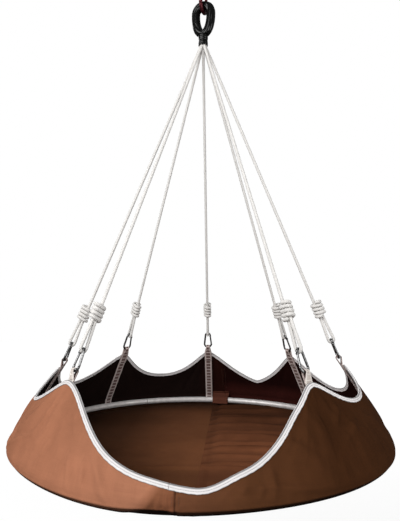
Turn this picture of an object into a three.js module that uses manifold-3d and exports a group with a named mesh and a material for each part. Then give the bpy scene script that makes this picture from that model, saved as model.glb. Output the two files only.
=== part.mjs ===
import * as THREE from "three";
import { mergeVertices } from "three/addons/utils/BufferGeometryUtils.js";
import Module from "manifold-3d";

// Nest hammock: a round cloth nest spread by a steel ring, hung by seven ropes from one carabiner.
// Lengths are in millimetres and angles in degrees. +Z is up and the entrance faces -Y.
// The origin is the inside of the carabiner's upper bow, where whatever holds the hammock bears.
// Azimuths run clockwise seen from above, from 0 at the back strap (+Y).

// Clearances
const seatGap = 0.3; // between two pieces that touch
const tapeGap = 0.6; // between the binding tape and the curved wall that it folds over
const webbingGap = 0.8; // between the flat webbing and the curved binding behind it

// Nest. Rises are above the floor's underside.
const nestRadius = 500; // at the widest part of the wall's foot
const footRadius = 22; // of the rounding by which the floor turns up into the wall
const peakRadius = 399; // wall's outer face where a strap leaves its top edge
const peakRise = 194; // wall's top edge at a strap without a lift
const clothThickness = 2; // doubled and hemmed canvas
const foldDepth = 5; // how far the wall's main folds stand out
const seamBackAzimuth = 7; // where the seam of the two halves meets the back of the wall
const seamFrontAzimuth = 181.4; // and the front of the wall
const floorSeamBackAzimuth = 2; // where the floor's seam ends at the back
const floorSeamFrontAzimuth = 178.4; // and at the front

// Straps, how much higher each carries the wall's edge, and the edge's lowest point between each and
// the next one clockwise. It climbs from there with a power of the distance: a low one is sharp.
const straps = [
  { name: "back", azimuth: 0, lift: 0, valleyAzimuth: 22.5, valleyRise: 92, valleyPower: 1.35 },
  { name: "back_right", azimuth: 45, lift: 0, valleyAzimuth: 65, valleyRise: 110, valleyPower: 2 },
  { name: "right", azimuth: 90, lift: 9, valleyAzimuth: 117, valleyRise: 153, valleyPower: 2.2 },
  { name: "front_right", azimuth: 139.5, lift: 7, valleyAzimuth: 178.6, valleyRise: 45, valleyPower: 2.1 },
  { name: "front_left", azimuth: 225, lift: 0, valleyAzimuth: 251, valleyRise: 134, valleyPower: 2.2 },
  { name: "left", azimuth: 270, lift: -9, valleyAzimuth: 289, valleyRise: 118, valleyPower: 2.2 },
  { name: "back_left", azimuth: 315, lift: 0, valleyAzimuth: 338, valleyRise: 112, valleyPower: 2.2 },
];
const entranceName = "front_right";

// The entrance's edge isn't an even curve: each kink lifts it (or, below zero, lowers it) round one place.
const entranceKinks = [
  { azimuth: 146.3, spread: 4.2, lift: -6.5 },
  { azimuth: 155.7, spread: 8, lift: -5.4 },
  { azimuth: 168.8, spread: 3.7, lift: 3.4 },
  { azimuth: 176, spread: 3.2, lift: -2.3 },
  { azimuth: 185.8, spread: 5.3, lift: 3.2 },
  { azimuth: 200.1, spread: 6.6, lift: -3.5 },
  { azimuth: 214.4, spread: 6.5, lift: 2.1 },
];

// Binding tape along the wall's top edge
const tapeLeg = 10; // on the outside
const tapeInnerLeg = 9;
const tapeThickness = 1;
const tapeJoinBackAzimuth = -21.7; // the tape's two lengths meet in the back left valley
const tapeJoinFrontAzimuth = 182.9; // and beside the front seam

// Ring frame inside the foot of the wall
const tubeDiameter = 19;
const tubeWall = 1.5;
const tubeCount = 4;
const tubeStartAzimuth = 62; // first of the joints between the tubes
const ferruleLength = 60;
const tabWidth = 58;
const tabThickness = 2; // doubled cloth
const tabRise = 41; // how high up the wall it is sewn
const tabSeam = 8; // its sewn ends, on the wall and on the floor
const tabReach = 13; // from the tube's middle to where it comes down on the floor

// Webbing straps
const webbingWidth = 25;
const webbingThickness = 1.8;
const webbingLoopWidth = 12; // bunched in the snap hook
const webbingTail = 30; // folded back over itself and stitched
const strapFootAngle = -40; // where the strap ends on the rounded foot, behind the ring
const strapNeck = 4; // height above the wall's top edge at which the loop opens

// Snap hooks
const hookLength = 60;
const hookWidth = 30;
const hookWire = 6;
const hookGateShare = 0.85; // gate's rod diameter as a share of the wire's
const hookLift = 20; // from the opening of the strap's loop to the wire in it

// Ropes
const ropeDiameter = 8;
const suspensionRise = 1128; // floor's underside to the mouth of the neck, where the ropes meet
const ropeBendRadius = 16; // at the mouth of the neck

// Knots: the rope's tail wound around both strands of the loop
const knotLift = 144; // from the opening of the strap's loop to the first turn
const knotPitch = 9.8;
const knotTurns = 4;

// Neck and eye at the top of the ropes
const neckLength = 34;
const neckWall = 1.5;
const neckWaist = 1; // how far the band between its two bulges draws in
const eyeCover = 1.4; // black cover over the bundled ropes of the eye
const eyeWidth = 48; // between the centre lines of its two limbs
const eyeHeight = 104; // outside, above the neck

// Carabiner
const carabinerLength = 108;
const carabinerWidth = 55;
const carabinerBar = 11;
const carabinerGateShare = 0.8;
const carabinerTurn = 18; // azimuth of its plane

// Counts of facets
const tubeSides = 10;
const ropeSides = 8;
const windingSides = 6;
const neckSides = 20;

const ropeRadius = ropeDiameter / 2;
const tubeRadius = tubeDiameter / 2;
const strandOffset = (ropeDiameter + seatGap) / 2;

const materials = {
  canvas: { color: 0x7a4a34, roughness: 0.85, metalness: 0 },
  tape: { color: 0xe8e6e4, roughness: 0.75, metalness: 0 },
  webbing: { color: 0xa89c90, roughness: 0.8, metalness: 0 },
  rope: { color: 0xeeece6, roughness: 0.8, metalness: 0 },
  tube: { color: 0xb8b6b4, roughness: 0.4, metalness: 0.8 },
  zinc: { color: 0xa8a8a8, roughness: 0.3, metalness: 1 },
  blackCover: { color: 0x101010, roughness: 0.2, metalness: 0 },
  redMetal: { color: 0x5a1418, roughness: 0.3, metalness: 0.7 },
};

const wasm = await Module();
wasm.setup();

const UP = new THREE.Vector3(0, 0, 1);
const toRadians = THREE.MathUtils.degToRad;
const toDegrees = THREE.MathUtils.radToDeg;

function polar(azimuth, radius, height) {
  const angle = toRadians(azimuth);
  return new THREE.Vector3(radius * Math.sin(angle), radius * Math.cos(angle), height);
}

function piece(name, geometry, look) {
  const mesh = new THREE.Mesh(geometry, new THREE.MeshStandardMaterial(materials[look]));
  mesh.name = name;
  return mesh;
}

// Closed solids

// A curve through a list of stations, which an extrusion follows point by point.
class Stations extends THREE.Curve {
  constructor(points) {
    super();
    this.points = points;
  }
  getPointAt(share) {
    return this.points[Math.round(share * (this.points.length - 1))].clone();
  }
  getTangentAt(share) {
    const at = Math.round(share * (this.points.length - 1));
    const before = this.points[Math.max(at - 1, 0)];
    const here = this.points[at];
    const after = this.points[Math.min(at + 1, this.points.length - 1)];
    const tangent = new THREE.Vector3();
    if (at > 0) tangent.add(here.clone().sub(before).normalize());
    if (at < this.points.length - 1) tangent.add(after.clone().sub(here).normalize());
    return tangent.normalize();
  }
}

function circleShape(radius, sides) {
  const shape = new THREE.Shape();
  for (let i = 0; i < sides; i++) {
    const angle = (2 * Math.PI * i) / sides;
    const at = [radius * Math.cos(angle), radius * Math.sin(angle)];
    if (i === 0) shape.moveTo(...at);
    else shape.lineTo(...at);
  }
  shape.closePath();
  return shape;
}

// A round bar or, with a bore, a round tube along a list of stations.
function roundBar(points, radius, sides, bore = 0) {
  const shape = circleShape(radius, sides);
  if (bore > 0) shape.holes.push(circleShape(bore, sides));
  const options = { extrudePath: new Stations(points), steps: points.length - 1, bevelEnabled: false };
  return new THREE.ExtrudeGeometry(shape, options);
}

// A body through rings of as many points each, closed at both ends. The flat outline, one 2D point
// for each of a ring's points and counter-clockwise, says how the end caps are cut into triangles.
function loft(rings, outline) {
  const count = outline.length;
  const positions = rings.flat().flatMap((p) => [p.x, p.y, p.z]);
  const faces = [];
  for (let i = 0; i + 1 < rings.length; i++)
    for (let j = 0; j < count; j++) {
      const next = (j + 1) % count;
      const [a, b] = [i * count + j, i * count + next];
      const [c, d] = [a + count, b + count];
      faces.push(a, b, c, b, d, c);
    }
  const last = (rings.length - 1) * count;
  for (const [a, b, c] of THREE.ShapeUtils.triangulateShape(outline, []))
    faces.push(a, c, b, last + a, last + b, last + c);
  const geometry = new THREE.BufferGeometry();
  geometry.setAttribute("position", new THREE.Float32BufferAttribute(positions, 3));
  geometry.setIndex(faces);
  if (signedVolume(positions, faces) < 0) geometry.setIndex(faces.reverse());
  geometry.computeVertexNormals();
  return geometry;
}

function signedVolume(positions, faces) {
  const at = (i) => new THREE.Vector3().fromArray(positions, 3 * i);
  let volume = 0;
  for (let i = 0; i < faces.length; i += 3)
    volume += at(faces[i]).dot(at(faces[i + 1]).cross(at(faces[i + 2])));
  return volume;
}

function toSolid(geometry) {
  const bare = geometry.clone();
  bare.deleteAttribute("normal");
  bare.deleteAttribute("uv");
  const merged = mergeVertices(bare, 1e-3);
  const vertProperties = merged.attributes.position.array;
  const triVerts = new Uint32Array(merged.index.array);
  return new wasm.Manifold(new wasm.Mesh({ numProp: 3, vertProperties, triVerts }));
}

function fromSolid(solid) {
  const mesh = solid.getMesh();
  const geometry = new THREE.BufferGeometry();
  geometry.setAttribute("position", new THREE.BufferAttribute(mesh.vertProperties, 3));
  geometry.setIndex(new THREE.BufferAttribute(mesh.triVerts, 1));
  geometry.computeVertexNormals();
  return geometry;
}

// Shape of the wall: a rounded foot and a cone that leans inwards, with a scalloped top edge

const footCentre = nestRadius - footRadius;
const peakOffset = new THREE.Vector2(footCentre - peakRadius, peakRise - footRadius);
const lean = Math.atan2(peakOffset.x, peakOffset.y) + Math.asin(footRadius / peakOffset.length());
const coneRise = footRadius * (1 + Math.sin(lean)); // where the rounded foot ends and the cone begins

// The point that lies a depth inside the cone's outer face, square to it, from a rise on that face.
function onCone(azimuth, rise, depth) {
  const radius = peakRadius + (peakRise - rise) * Math.tan(lean) - depth * Math.cos(lean);
  return polar(azimuth, radius, rise - depth * Math.sin(lean));
}

// The same on the rounded foot, whose angle runs from -90 at the floor up to the lean of the cone.
function onFoot(azimuth, angle, depth) {
  const radius = footRadius - depth;
  const turn = toRadians(angle);
  return polar(azimuth, footCentre + radius * Math.cos(turn), footRadius + radius * Math.sin(turn));
}

// A scallop's height share at a distance share from its lowest point: it rises as one power
// of the distance and is rounded off at the strap by a higher one.
function scallopShare(distanceShare, risePower, roundPower) {
  const rounding = risePower / (roundPower - risePower);
  return (1 + rounding) * distanceShare ** risePower - rounding * distanceShare ** roundPower;
}

// The wall's bays from strap to strap. An offset share runs from -1 at a bay's start over 0 in its
// valley to 1 at its end.
const bays = straps.map((strap, i) => {
  const end = i + 1 < straps.length ? straps[i + 1].azimuth : 360;
  const endLift = straps[(i + 1) % straps.length].lift;
  return { ...strap, end, endLift, entrance: strap.name === entranceName };
});

function atOffset(bay, share) {
  const width = share < 0 ? bay.valleyAzimuth - bay.azimuth : bay.end - bay.valleyAzimuth;
  return bay.valleyAzimuth + share * width;
}

function bayAt(azimuth) {
  const turned = ((azimuth % 360) + 360) % 360;
  const bay = bays.findLast(({ azimuth: start }) => start <= turned);
  const offset = turned - bay.valleyAzimuth;
  const width = offset < 0 ? bay.valleyAzimuth - bay.azimuth : bay.end - bay.valleyAzimuth;
  return { ...bay, offsetShare: offset / width };
}

function kinkLift(azimuth) {
  const lifts = entranceKinks.map((kink) => {
    const away = (azimuth - kink.azimuth) / kink.spread;
    return kink.lift * Math.exp(-away * away);
  });
  return lifts.reduce((sum, lift) => sum + lift, 0);
}

function edgeRise(azimuth) {
  const { offsetShare, valleyRise, valleyPower, entrance, lift, endLift } = bayAt(azimuth);
  const climb = scallopShare(Math.abs(offsetShare), valleyPower, entrance ? 5 : 8);
  const peak = peakRise + (offsetShare < 0 ? lift : endLift);
  return valleyRise + (peak - valleyRise) * climb + (entrance ? kinkLift(azimuth) : 0);
}

// Main folds: two swells to a bay, four to the entrance, none at the straps or where the wall is low.
function foldSwell(azimuth, riseShare) {
  const { offsetShare, entrance } = bayAt(azimuth);
  const across = Math.sin(Math.PI * offsetShare * (entrance ? 2 : 1)) ** 2;
  const low = coneRise + tapeLeg;
  const high = 2 * low;
  const fading = THREE.MathUtils.smoothstep(edgeRise(azimuth), low, high);
  return foldDepth * across * Math.sin(Math.PI * riseShare) * fading;
}

const bayShares = [0, 0.25, 0.5, 0.7, 0.85, 1];
const entranceAzimuths = [
  145, 150, 155, 160.5, 165, 168.8, 172.5, 176, 185.5, 190, 195, 200, 205, 210, 215, 220,
];

function mirrored(shares) {
  return [...shares.slice(1).map((s) => -s).reverse(), ...shares];
}

const leastStep = 1.5; // a regular station closer than this to a fixed one is left out
const nearEnd = 0.2; // a fixed station this close to a piece's end is the end itself

// Stations of a full turn: the fixed ones, and the regular ones that keep clear of them.
function fullTurn(regular, fixed) {
  const distance = (a, b) => Math.abs(((((a - b) % 360) + 540) % 360) - 180);
  return [...regular.filter((azimuth) => fixed.every((f) => distance(azimuth, f) > leastStep)), ...fixed];
}

// A piece's stations: its two ends and those of the full turn between them.
function stationsBetween(turn, from, to) {
  const all = [-360, 0, 360].flatMap((shift) => turn.map((azimuth) => azimuth + shift));
  const inside = all.filter((azimuth) => azimuth > from + nearEnd && azimuth < to - nearEnd);
  return [from, ...inside.sort((a, b) => a - b), to];
}

function edgeTurn() {
  const turn = [];
  for (const bay of bays) {
    const shares = bay.entrance ? [-1] : mirrored(bayShares).slice(0, -1);
    for (const share of shares) turn.push(atOffset(bay, share));
    if (bay.entrance) turn.push(...entranceAzimuths);
  }
  const seams = [seamBackAzimuth, seamFrontAzimuth, floorSeamBackAzimuth, floorSeamFrontAzimuth];
  return fullTurn(turn, [...seams, tapeJoinBackAzimuth, tapeJoinFrontAzimuth]);
}

const edgeStations = edgeTurn();

// Walls and floor

const seamHalfAngle = toDegrees(seatGap / 2 / peakRadius);
const footAngles = [-90, -55, -20, 12];
const foldRows = [0, 1 / 3, 2 / 3, 1];

// The wall's rows of points from its foot to its top edge, each as a function of the depth.
function wallRows(azimuth) {
  const top = edgeRise(azimuth);
  const tapeRise = Math.min(1.2 * tapeLeg * Math.cos(lean), 0.6 * (top - coneRise));
  const foot = footAngles.map((angle) => (depth) => onFoot(azimuth, angle, depth));
  const cone = foldRows.map((share) => (depth) => {
    const rise = coneRise + share * (top - tapeRise - coneRise);
    return onCone(azimuth, rise, depth - foldSwell(azimuth, share));
  });
  return [...foot, ...cone, (depth) => onCone(azimuth, top, depth)];
}

function wallHalf(from, to) {
  const rings = stationsBetween(edgeStations, from + seamHalfAngle, to - seamHalfAngle).map((azimuth) => {
    const rows = wallRows(azimuth);
    return [...rows.map((row) => row(0)), ...rows.reverse().map((row) => row(clothThickness))];
  });
  const count = footAngles.length + foldRows.length + 1;
  const outline = [];
  for (let i = 0; i < count; i++) outline.push(new THREE.Vector2(0, i));
  for (let i = count - 1; i >= 0; i--) outline.push(new THREE.Vector2(-1, i));
  return loft(rings, outline);
}

// The floor's flat half, which ends where the wall's foot begins to turn up.
function floorHalf(from, to) {
  const corners = stationsBetween(edgeStations, from + seamHalfAngle, to - seamHalfAngle).map((azimuth) =>
    polar(azimuth, footCentre - seatGap, 0),
  );
  const shape = new THREE.Shape(corners.map((p) => new THREE.Vector2(p.x, p.y)));
  return new THREE.ExtrudeGeometry(shape, { depth: clothThickness, bevelEnabled: false });
}

// Binding tape: a channel folded over the wall's top edge

// The point upright below the edge that lies a distance from it, measured square to it in the wall's face.
function belowEdge(azimuth, below, depth) {
  const step = 0.05;
  const along = 2 * toRadians(step) * onCone(0, edgeRise(azimuth), 0).y;
  const up = (edgeRise(azimuth + step) - edgeRise(azimuth - step)) / Math.cos(lean);
  const upright = below / Math.cos(Math.atan2(up, along));
  return onCone(azimuth, edgeRise(azimuth) - upright * Math.cos(lean), depth);
}

function bindingTape(from, to) {
  const outer = -tapeGap;
  const inner = clothThickness + tapeGap;
  const section = [
    [outer - tapeThickness, tapeLeg],
    [outer - tapeThickness, -tapeGap - tapeThickness],
    [inner + tapeThickness, -tapeGap - tapeThickness],
    [inner + tapeThickness, tapeInnerLeg],
    [inner, tapeInnerLeg],
    [inner, -tapeGap],
    [outer, -tapeGap],
    [outer, tapeLeg],
  ];
  const rings = stationsBetween(edgeStations, from, to).map((azimuth) =>
    section.map(([depth, below]) => belowEdge(azimuth, below, depth)),
  );
  return loft(rings, section.map(([depth, below]) => new THREE.Vector2(depth, below)));
}

// Ring frame

const strapDepth = clothThickness + tapeGap + tapeThickness + webbingGap + webbingThickness / 2;
const tubeRise = clothThickness + seatGap + tubeRadius;
const ringRadius = footCentre - tubeRadius / 2; // on the flat of the floor, beside the rounded foot
const tubeBore = tubeRadius - tubeWall;

const ringHalfGap = toDegrees(seatGap / 2 / ringRadius);
const ringHalfFerrule = toDegrees(ferruleLength / 2 / ringRadius);
const tubeSpan = 360 / tubeCount;
const tabMiddle = seamBackAzimuth - toDegrees(tabWidth / 4 / ringRadius);
const tabEnds = [-1, 1].map((sign) => tabMiddle + (sign * toDegrees(tabWidth / ringRadius)) / 2);

function ringTurn() {
  const steps = 10;
  const squareEnd = 0.4; // a short first step turns a tube's end face square to the ring
  const turn = [];
  for (let i = 0; i < tubeCount; i++) {
    const from = tubeStartAzimuth + i * tubeSpan;
    turn.push(from - squareEnd, from, from + squareEnd);
    for (let j = 0; j <= steps; j++)
      turn.push(from + ringHalfFerrule + (j * (tubeSpan - 2 * ringHalfFerrule)) / steps);
  }
  return fullTurn(turn, tabEnds);
}

const ringStations = ringTurn();

function ringBar(from, to, radius, bore) {
  const points = stationsBetween(ringStations, from, to).map((azimuth) => polar(azimuth, ringRadius, tubeRise));
  return roundBar(points, radius, tubeSides, bore);
}

function ringFrame() {
  const frame = new THREE.Group();
  const ferruleRadius = tubeBore * Math.cos(Math.PI / tubeSides) - seatGap;
  for (let i = 0; i < tubeCount; i++) {
    const from = tubeStartAzimuth + i * tubeSpan;
    const tube = ringBar(from + ringHalfGap, from + tubeSpan - ringHalfGap, tubeRadius, tubeBore);
    const ferrule = ringBar(from - ringHalfFerrule, from + ringHalfFerrule, ferruleRadius);
    frame.add(piece(`ring_tube_${i + 1}`, tube, "tube"), piece(`ring_ferrule_${i + 1}`, ferrule, "zinc"));
  }
  return frame;
}

// The tab: a strip of cloth at the back seam, sewn to the wall and led over the tube to the floor.
function ringTab() {
  const half = tabThickness / 2;
  const clear = tubeRadius + seatGap + half;
  const onWall = (rise) => {
    const at = onCone(0, rise, clothThickness + tapeGap + half);
    return new THREE.Vector2(ringRadius - at.y, at.z - tubeRise);
  };
  const floorLevel = clothThickness + seatGap + half - tubeRise;
  const foot = new THREE.Vector2(tabReach, floorLevel);
  const leave = onWall(tabRise - tabSeam);
  const touch = (from, side) => from.angle() + side * Math.acos(clear / from.length());
  const [low, high] = [touch(foot, 1) - 2 * Math.PI, touch(leave, -1)];
  const line = [new THREE.Vector2(tabReach + tabSeam, floorLevel), foot];
  const bend = 4;
  for (let i = 0; i <= bend; i++) {
    const angle = low + ((high - low) * i) / bend;
    line.push(new THREE.Vector2(clear * Math.cos(angle), clear * Math.sin(angle)));
  }
  line.push(leave, onWall(tabRise));
  const curve = new Stations(line.map((p) => new THREE.Vector3(p.x, p.y, 0)));
  const sided = (sign) =>
    line.map((p, i) => {
      const tangent = curve.getTangentAt(i / (line.length - 1));
      return new THREE.Vector2(p.x + sign * half * tangent.y, p.y - sign * half * tangent.x);
    });
  const section = [...sided(1), ...sided(-1).reverse()];
  const rings = tabEnds.map((azimuth) => section.map((p) => polar(azimuth, ringRadius - p.x, tubeRise + p.y)));
  return loft(rings, section);
}

// Wire loops with a spring gate: the snap hooks and the carabiner

// A loop of wire around two circles, the wider one below at the origin of its XY plane, with a gate
// in its right side. The gate turns about a knuckle at its upper end and its nose meets the wire below.
function gatedLoop({ length, width, wire, topRadius, gateShare, sides }) {
  const radius = wire / 2;
  const lowRadius = (width - wire) / 2;
  const span = length - wire - topRadius - lowRadius;
  const tilt = Math.asin((lowRadius - topRadius) / span);
  const run = span * Math.cos(tilt);
  const side = (t) =>
    new THREE.Vector3(
      lowRadius * Math.cos(tilt) - t * Math.sin(tilt),
      lowRadius * Math.sin(tilt) + t * Math.cos(tilt),
      0,
    );
  const knuckleAt = run - radius - 2 * seatGap;
  const noseAt = radius / 2;
  const arc = (centre, r, from, to, steps) => {
    const points = [];
    for (let i = 0; i <= steps; i++) {
      const angle = from + ((to - from) * i) / steps;
      points.push(new THREE.Vector3(r * Math.cos(angle), centre + r * Math.sin(angle), 0));
    }
    return points;
  };
  const path = [
    side(knuckleAt + radius + seatGap),
    ...arc(span, topRadius, tilt, Math.PI - tilt, 8),
    ...arc(0, lowRadius, Math.PI - tilt, 2 * Math.PI + tilt, 10),
    side(noseAt - seatGap),
  ];
  const gateRadius = gateShare * radius;
  const hinge = side(knuckleAt);
  const rod = roundBar([side(noseAt), side((noseAt + knuckleAt) / 2), hinge], gateRadius, sides);
  const knuckle = new THREE.CylinderGeometry(radius, radius, wire + seatGap, 12).rotateX(Math.PI / 2);
  const gate = fromSolid(toSolid(rod).add(toSolid(knuckle.translate(hinge.x, hinge.y, 0))));
  gate.translate(-hinge.x, -hinge.y, 0);
  return { body: roundBar(path, radius, sides), gate, hinge, lowRadius, span, topRadius };
}

// The loop's body and its gate, which is a mesh of its own placed at its hinge.
function placedLoop(loop, bodyName, gateName, look) {
  const group = new THREE.Group();
  const gate = piece(gateName, loop.gate, look);
  gate.position.copy(loop.hinge);
  group.add(piece(bodyName, loop.body, look), gate);
  return group;
}

// Ropes, knots, snap hooks and straps: one set for each strap

const neckMouth = suspensionRise;
const packRadius = ropeDiameter + seatGap; // six ropes around one
const hookTopRadius = hookWire / 2 + ropeRadius + 1;

// Place of a strap's rope in the neck: the back rope is in the middle, the others are around it.
function neckPlace(strap) {
  const order = straps.indexOf(strap);
  if (order === 0) return new THREE.Vector3(0, 0, neckMouth);
  const spread = 360 / (straps.length - 1);
  return polar((order - 0.5) * spread, packRadius, neckMouth);
}

// Frame of a set: X along the wall, Y up the rope and Z inwards, from where the strap's loop opens.
function setFrame(strap, lift = strap.lift) {
  const origin = onCone(strap.azimuth, peakRise + lift + strapNeck, strapDepth);
  const top = neckPlace(strap);
  const along = top.clone().sub(origin).normalize();
  const across = new THREE.Vector3().crossVectors(UP, along).normalize();
  const inward = new THREE.Vector3().crossVectors(across, along);
  along.copy(top).addScaledVector(inward, -strandOffset).sub(origin).normalize();
  inward.crossVectors(across, along).normalize();
  return new THREE.Matrix4().makeBasis(across, along, inward).setPosition(origin);
}

const hookBowTop = hookLift + hookLength - hookWire; // centre of the wire at the hook's narrow end
const knotTop = knotLift + knotPitch * knotTurns;
const ropeTurnSteps = 7;

// Where the rope passes around the hook's wire, on the outside of its chords.
const ropeTurnRadius = (hookWire / 2 + seatGap + ropeRadius) / Math.cos(Math.PI / ropeTurnSteps / 2);

function ropePath(strap) {
  const frame = setFrame(strap);
  const local = (y, z) => new THREE.Vector3(0, y, z).applyMatrix4(frame);
  const top = neckPlace(strap);
  const foot = local(knotTop, strandOffset);
  const down = foot.clone().sub(top).normalize();
  const bend = Math.acos(-down.z);
  const sideways = new THREE.Vector3(down.x, down.y, 0).normalize();
  const points = [top.clone().setZ(neckMouth + neckLength), top.clone()];
  const bendSteps = 3;
  for (let i = 1; i <= bendSteps; i++) {
    const angle = (bend * i) / bendSteps;
    const at = top.clone().addScaledVector(sideways, ropeBendRadius * (1 - Math.cos(angle)));
    points.push(at.addScaledVector(UP, -ropeBendRadius * Math.sin(angle)));
  }
  const bent = points[points.length - 1];
  const straightSteps = 5;
  for (let i = 1; i < straightSteps; i++) points.push(bent.clone().lerp(foot, i / straightSteps));
  points.push(foot, local(knotLift - ropeDiameter, strandOffset));
  for (let i = 0; i <= ropeTurnSteps; i++) {
    const angle = (Math.PI * i) / ropeTurnSteps;
    points.push(local(hookBowTop - ropeTurnRadius * Math.sin(angle), ropeTurnRadius * Math.cos(angle)));
  }
  points.push(local(knotLift - ropeDiameter, -strandOffset), local(knotTop, -strandOffset));
  return points;
}

// The knot's winding: turns around a stadium that holds both strands. Its first and last straights
// lie square to the strands, and the climb is shared by the rest.
function knotPath() {
  const halfTurnSteps = 6;
  const radius = (ropeDiameter + seatGap) / Math.cos(Math.PI / halfTurnSteps / 2);
  const turn = [];
  for (const sign of [1, -1])
    for (let i = 0; i <= halfTurnSteps; i++) {
      const angle = (Math.PI * i) / halfTurnSteps;
      const [x, z] = [radius * Math.cos(angle), strandOffset + radius * Math.sin(angle)];
      turn.push(new THREE.Vector3(sign * x, 0, sign * z));
    }
  const flat = [];
  for (let i = 0; i < knotTurns; i++) flat.push(...turn.map((p) => p.clone()));
  flat.push(turn[0].clone());
  flat.unshift(turn[turn.length - 1].clone());
  const lengths = [0];
  for (let i = 1; i < flat.length; i++) lengths.push(lengths[i - 1] + flat[i].distanceTo(flat[i - 1]));
  const [from, to] = [lengths[1], lengths[flat.length - 2]];
  flat.forEach((p, i) => {
    const share = THREE.MathUtils.clamp((lengths[i] - from) / (to - from), 0, 1);
    p.y = knotLift + share * knotPitch * knotTurns;
  });
  return flat;
}

// Least clear distance between parts of a wound tube that are more than half a turn apart.
function leastSelfGap(points, diameter, apart) {
  const step = 1;
  const fine = [];
  let run = 0;
  for (let i = 0; i + 1 < points.length; i++) {
    const length = points[i].distanceTo(points[i + 1]);
    const count = Math.ceil(length / step);
    for (let j = 0; j < count; j++)
      fine.push({ at: points[i].clone().lerp(points[i + 1], j / count), run: run + (length * j) / count });
    run += length;
  }
  let least = Infinity;
  for (const a of fine)
    for (const b of fine) if (b.run - a.run > apart) least = Math.min(least, a.at.distanceTo(b.at));
  return least - diameter;
}

// A webbing strap in its own upright plane: Y points away from the nest's middle and X along the wall.
function strapGeometry(lift) {
  const peak = peakRise + lift;
  const origin = onCone(0, peak + strapNeck, strapDepth);
  const frame = setFrame(straps[0], lift);
  const turnRadius = hookWire / 2 + seatGap + webbingThickness / 2 + loopRise();
  const wallAt = (rise, inside) => {
    const depth = strapDepth + inside;
    return onCone(0, rise + depth * Math.sin(lean), depth);
  };
  const doubled = webbingThickness + seatGap;
  const stations = [
    { at: onFoot(0, strapFootAngle, strapDepth), width: webbingWidth },
    { at: onFoot(0, strapFootAngle / 2, strapDepth), width: webbingWidth },
    { at: onFoot(0, 0, strapDepth), width: webbingWidth },
    { at: wallAt(coneRise, 0), width: webbingWidth },
    { at: wallAt(peak / 2, 0), width: webbingWidth },
    { at: wallAt(peak, 0), width: webbingWidth },
    { at: origin.clone(), width: webbingWidth },
  ];
  const steps = 8;
  for (let i = 0; i <= steps; i++) {
    const angle = Math.PI * (1 - i / steps);
    const at = new THREE.Vector3(0, hookLift + turnRadius * Math.sin(angle), turnRadius * Math.cos(angle));
    stations.push({ at: at.applyMatrix4(frame), width: webbingLoopWidth });
  }
  const inside = new THREE.Vector3(0, 0, doubled).applyMatrix4(frame);
  stations.push({ at: inside, width: webbingWidth });
  stations.push({ at: wallAt(peak, doubled), width: webbingWidth });
  stations.push({ at: wallAt(peak - webbingTail, doubled), width: webbingWidth });
  const curve = new Stations(stations.map((s) => s.at));
  const half = webbingThickness / 2;
  const section = [[-1, -half], [1, -half], [1, half], [-1, half]];
  const rings = stations.map(({ at, width }, i) => {
    const tangent = curve.getTangentAt(i / (stations.length - 1));
    const normal = new THREE.Vector3(0, tangent.z, -tangent.y);
    return section.map(([side, off]) =>
      at.clone().add(new THREE.Vector3((side * width) / 2, 0, 0)).addScaledVector(normal, off),
    );
  });
  return loft(rings, section.map(([side, off]) => new THREE.Vector2(side, off)));
}

// How far the inside of the hook's wide bow rises within the width of the webbing that lies in it.
function loopRise() {
  const bow = hookWidth / 2 - hookWire;
  return bow - Math.sqrt(bow ** 2 - (webbingLoopWidth / 2) ** 2);
}

function suspension() {
  const group = new THREE.Group();
  const hook = gatedLoop({
    length: hookLength,
    width: hookWidth,
    wire: hookWire,
    topRadius: hookTopRadius,
    gateShare: hookGateShare,
    sides: 6,
  });
  const winding = knotPath();
  const wound = roundBar(winding, ropeRadius, windingSides);
  const selfGap = leastSelfGap(winding, ropeDiameter, 4 * ropeDiameter);
  console.log(`knot winding: least gap to itself ${selfGap.toFixed(2)} mm`);
  for (const each of straps) {
    const { name, azimuth, lift } = each;
    const set = new THREE.Group();
    setFrame(each).decompose(set.position, set.quaternion, set.scale);
    set.add(piece(`knot_${name}`, wound, "rope"));
    const placed = placedLoop(hook, `hook_${name}`, `hook_gate_${name}`, "zinc");
    placed.position.y = hookLift + hook.lowRadius;
    set.add(placed);
    const webbing = piece(`strap_${name}`, strapGeometry(lift), "webbing");
    webbing.rotation.z = -toRadians(azimuth);
    const rope = piece(`rope_${name}`, roundBar(ropePath(each), ropeRadius, ropeSides), "rope");
    group.add(set, webbing, rope);
  }
  return group;
}

// Neck and eye

const neckBore = (packRadius + ropeRadius + seatGap) / Math.cos(Math.PI / neckSides);
const bundleRadius = 1.5 * ropeDiameter + eyeCover;
const eyeFoot = neckMouth + neckLength + seatGap;
const pivotRise = eyeFoot + eyeHeight - 2 * bundleRadius - seatGap - carabinerBar / 2;

function neckSleeve() {
  const outside = neckBore + neckWall;
  const chamfer = neckWall / 2;
  const bulge = neckLength / 2;
  const profile = [
    [neckBore, 0],
    [outside - chamfer, 0],
    [outside, 2 * chamfer],
    [outside, bulge - 2 * neckWaist],
    [outside - neckWaist, bulge],
    [outside, bulge + 2 * neckWaist],
    [outside, neckLength - 2 * chamfer],
    [outside - chamfer, neckLength],
    [neckBore, neckLength],
  ];
  const points = profile.map(([radius, height]) => new THREE.Vector2(radius, height));
  return new THREE.LatheGeometry([...points, points[0]], neckSides).rotateX(Math.PI / 2);
}

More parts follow.
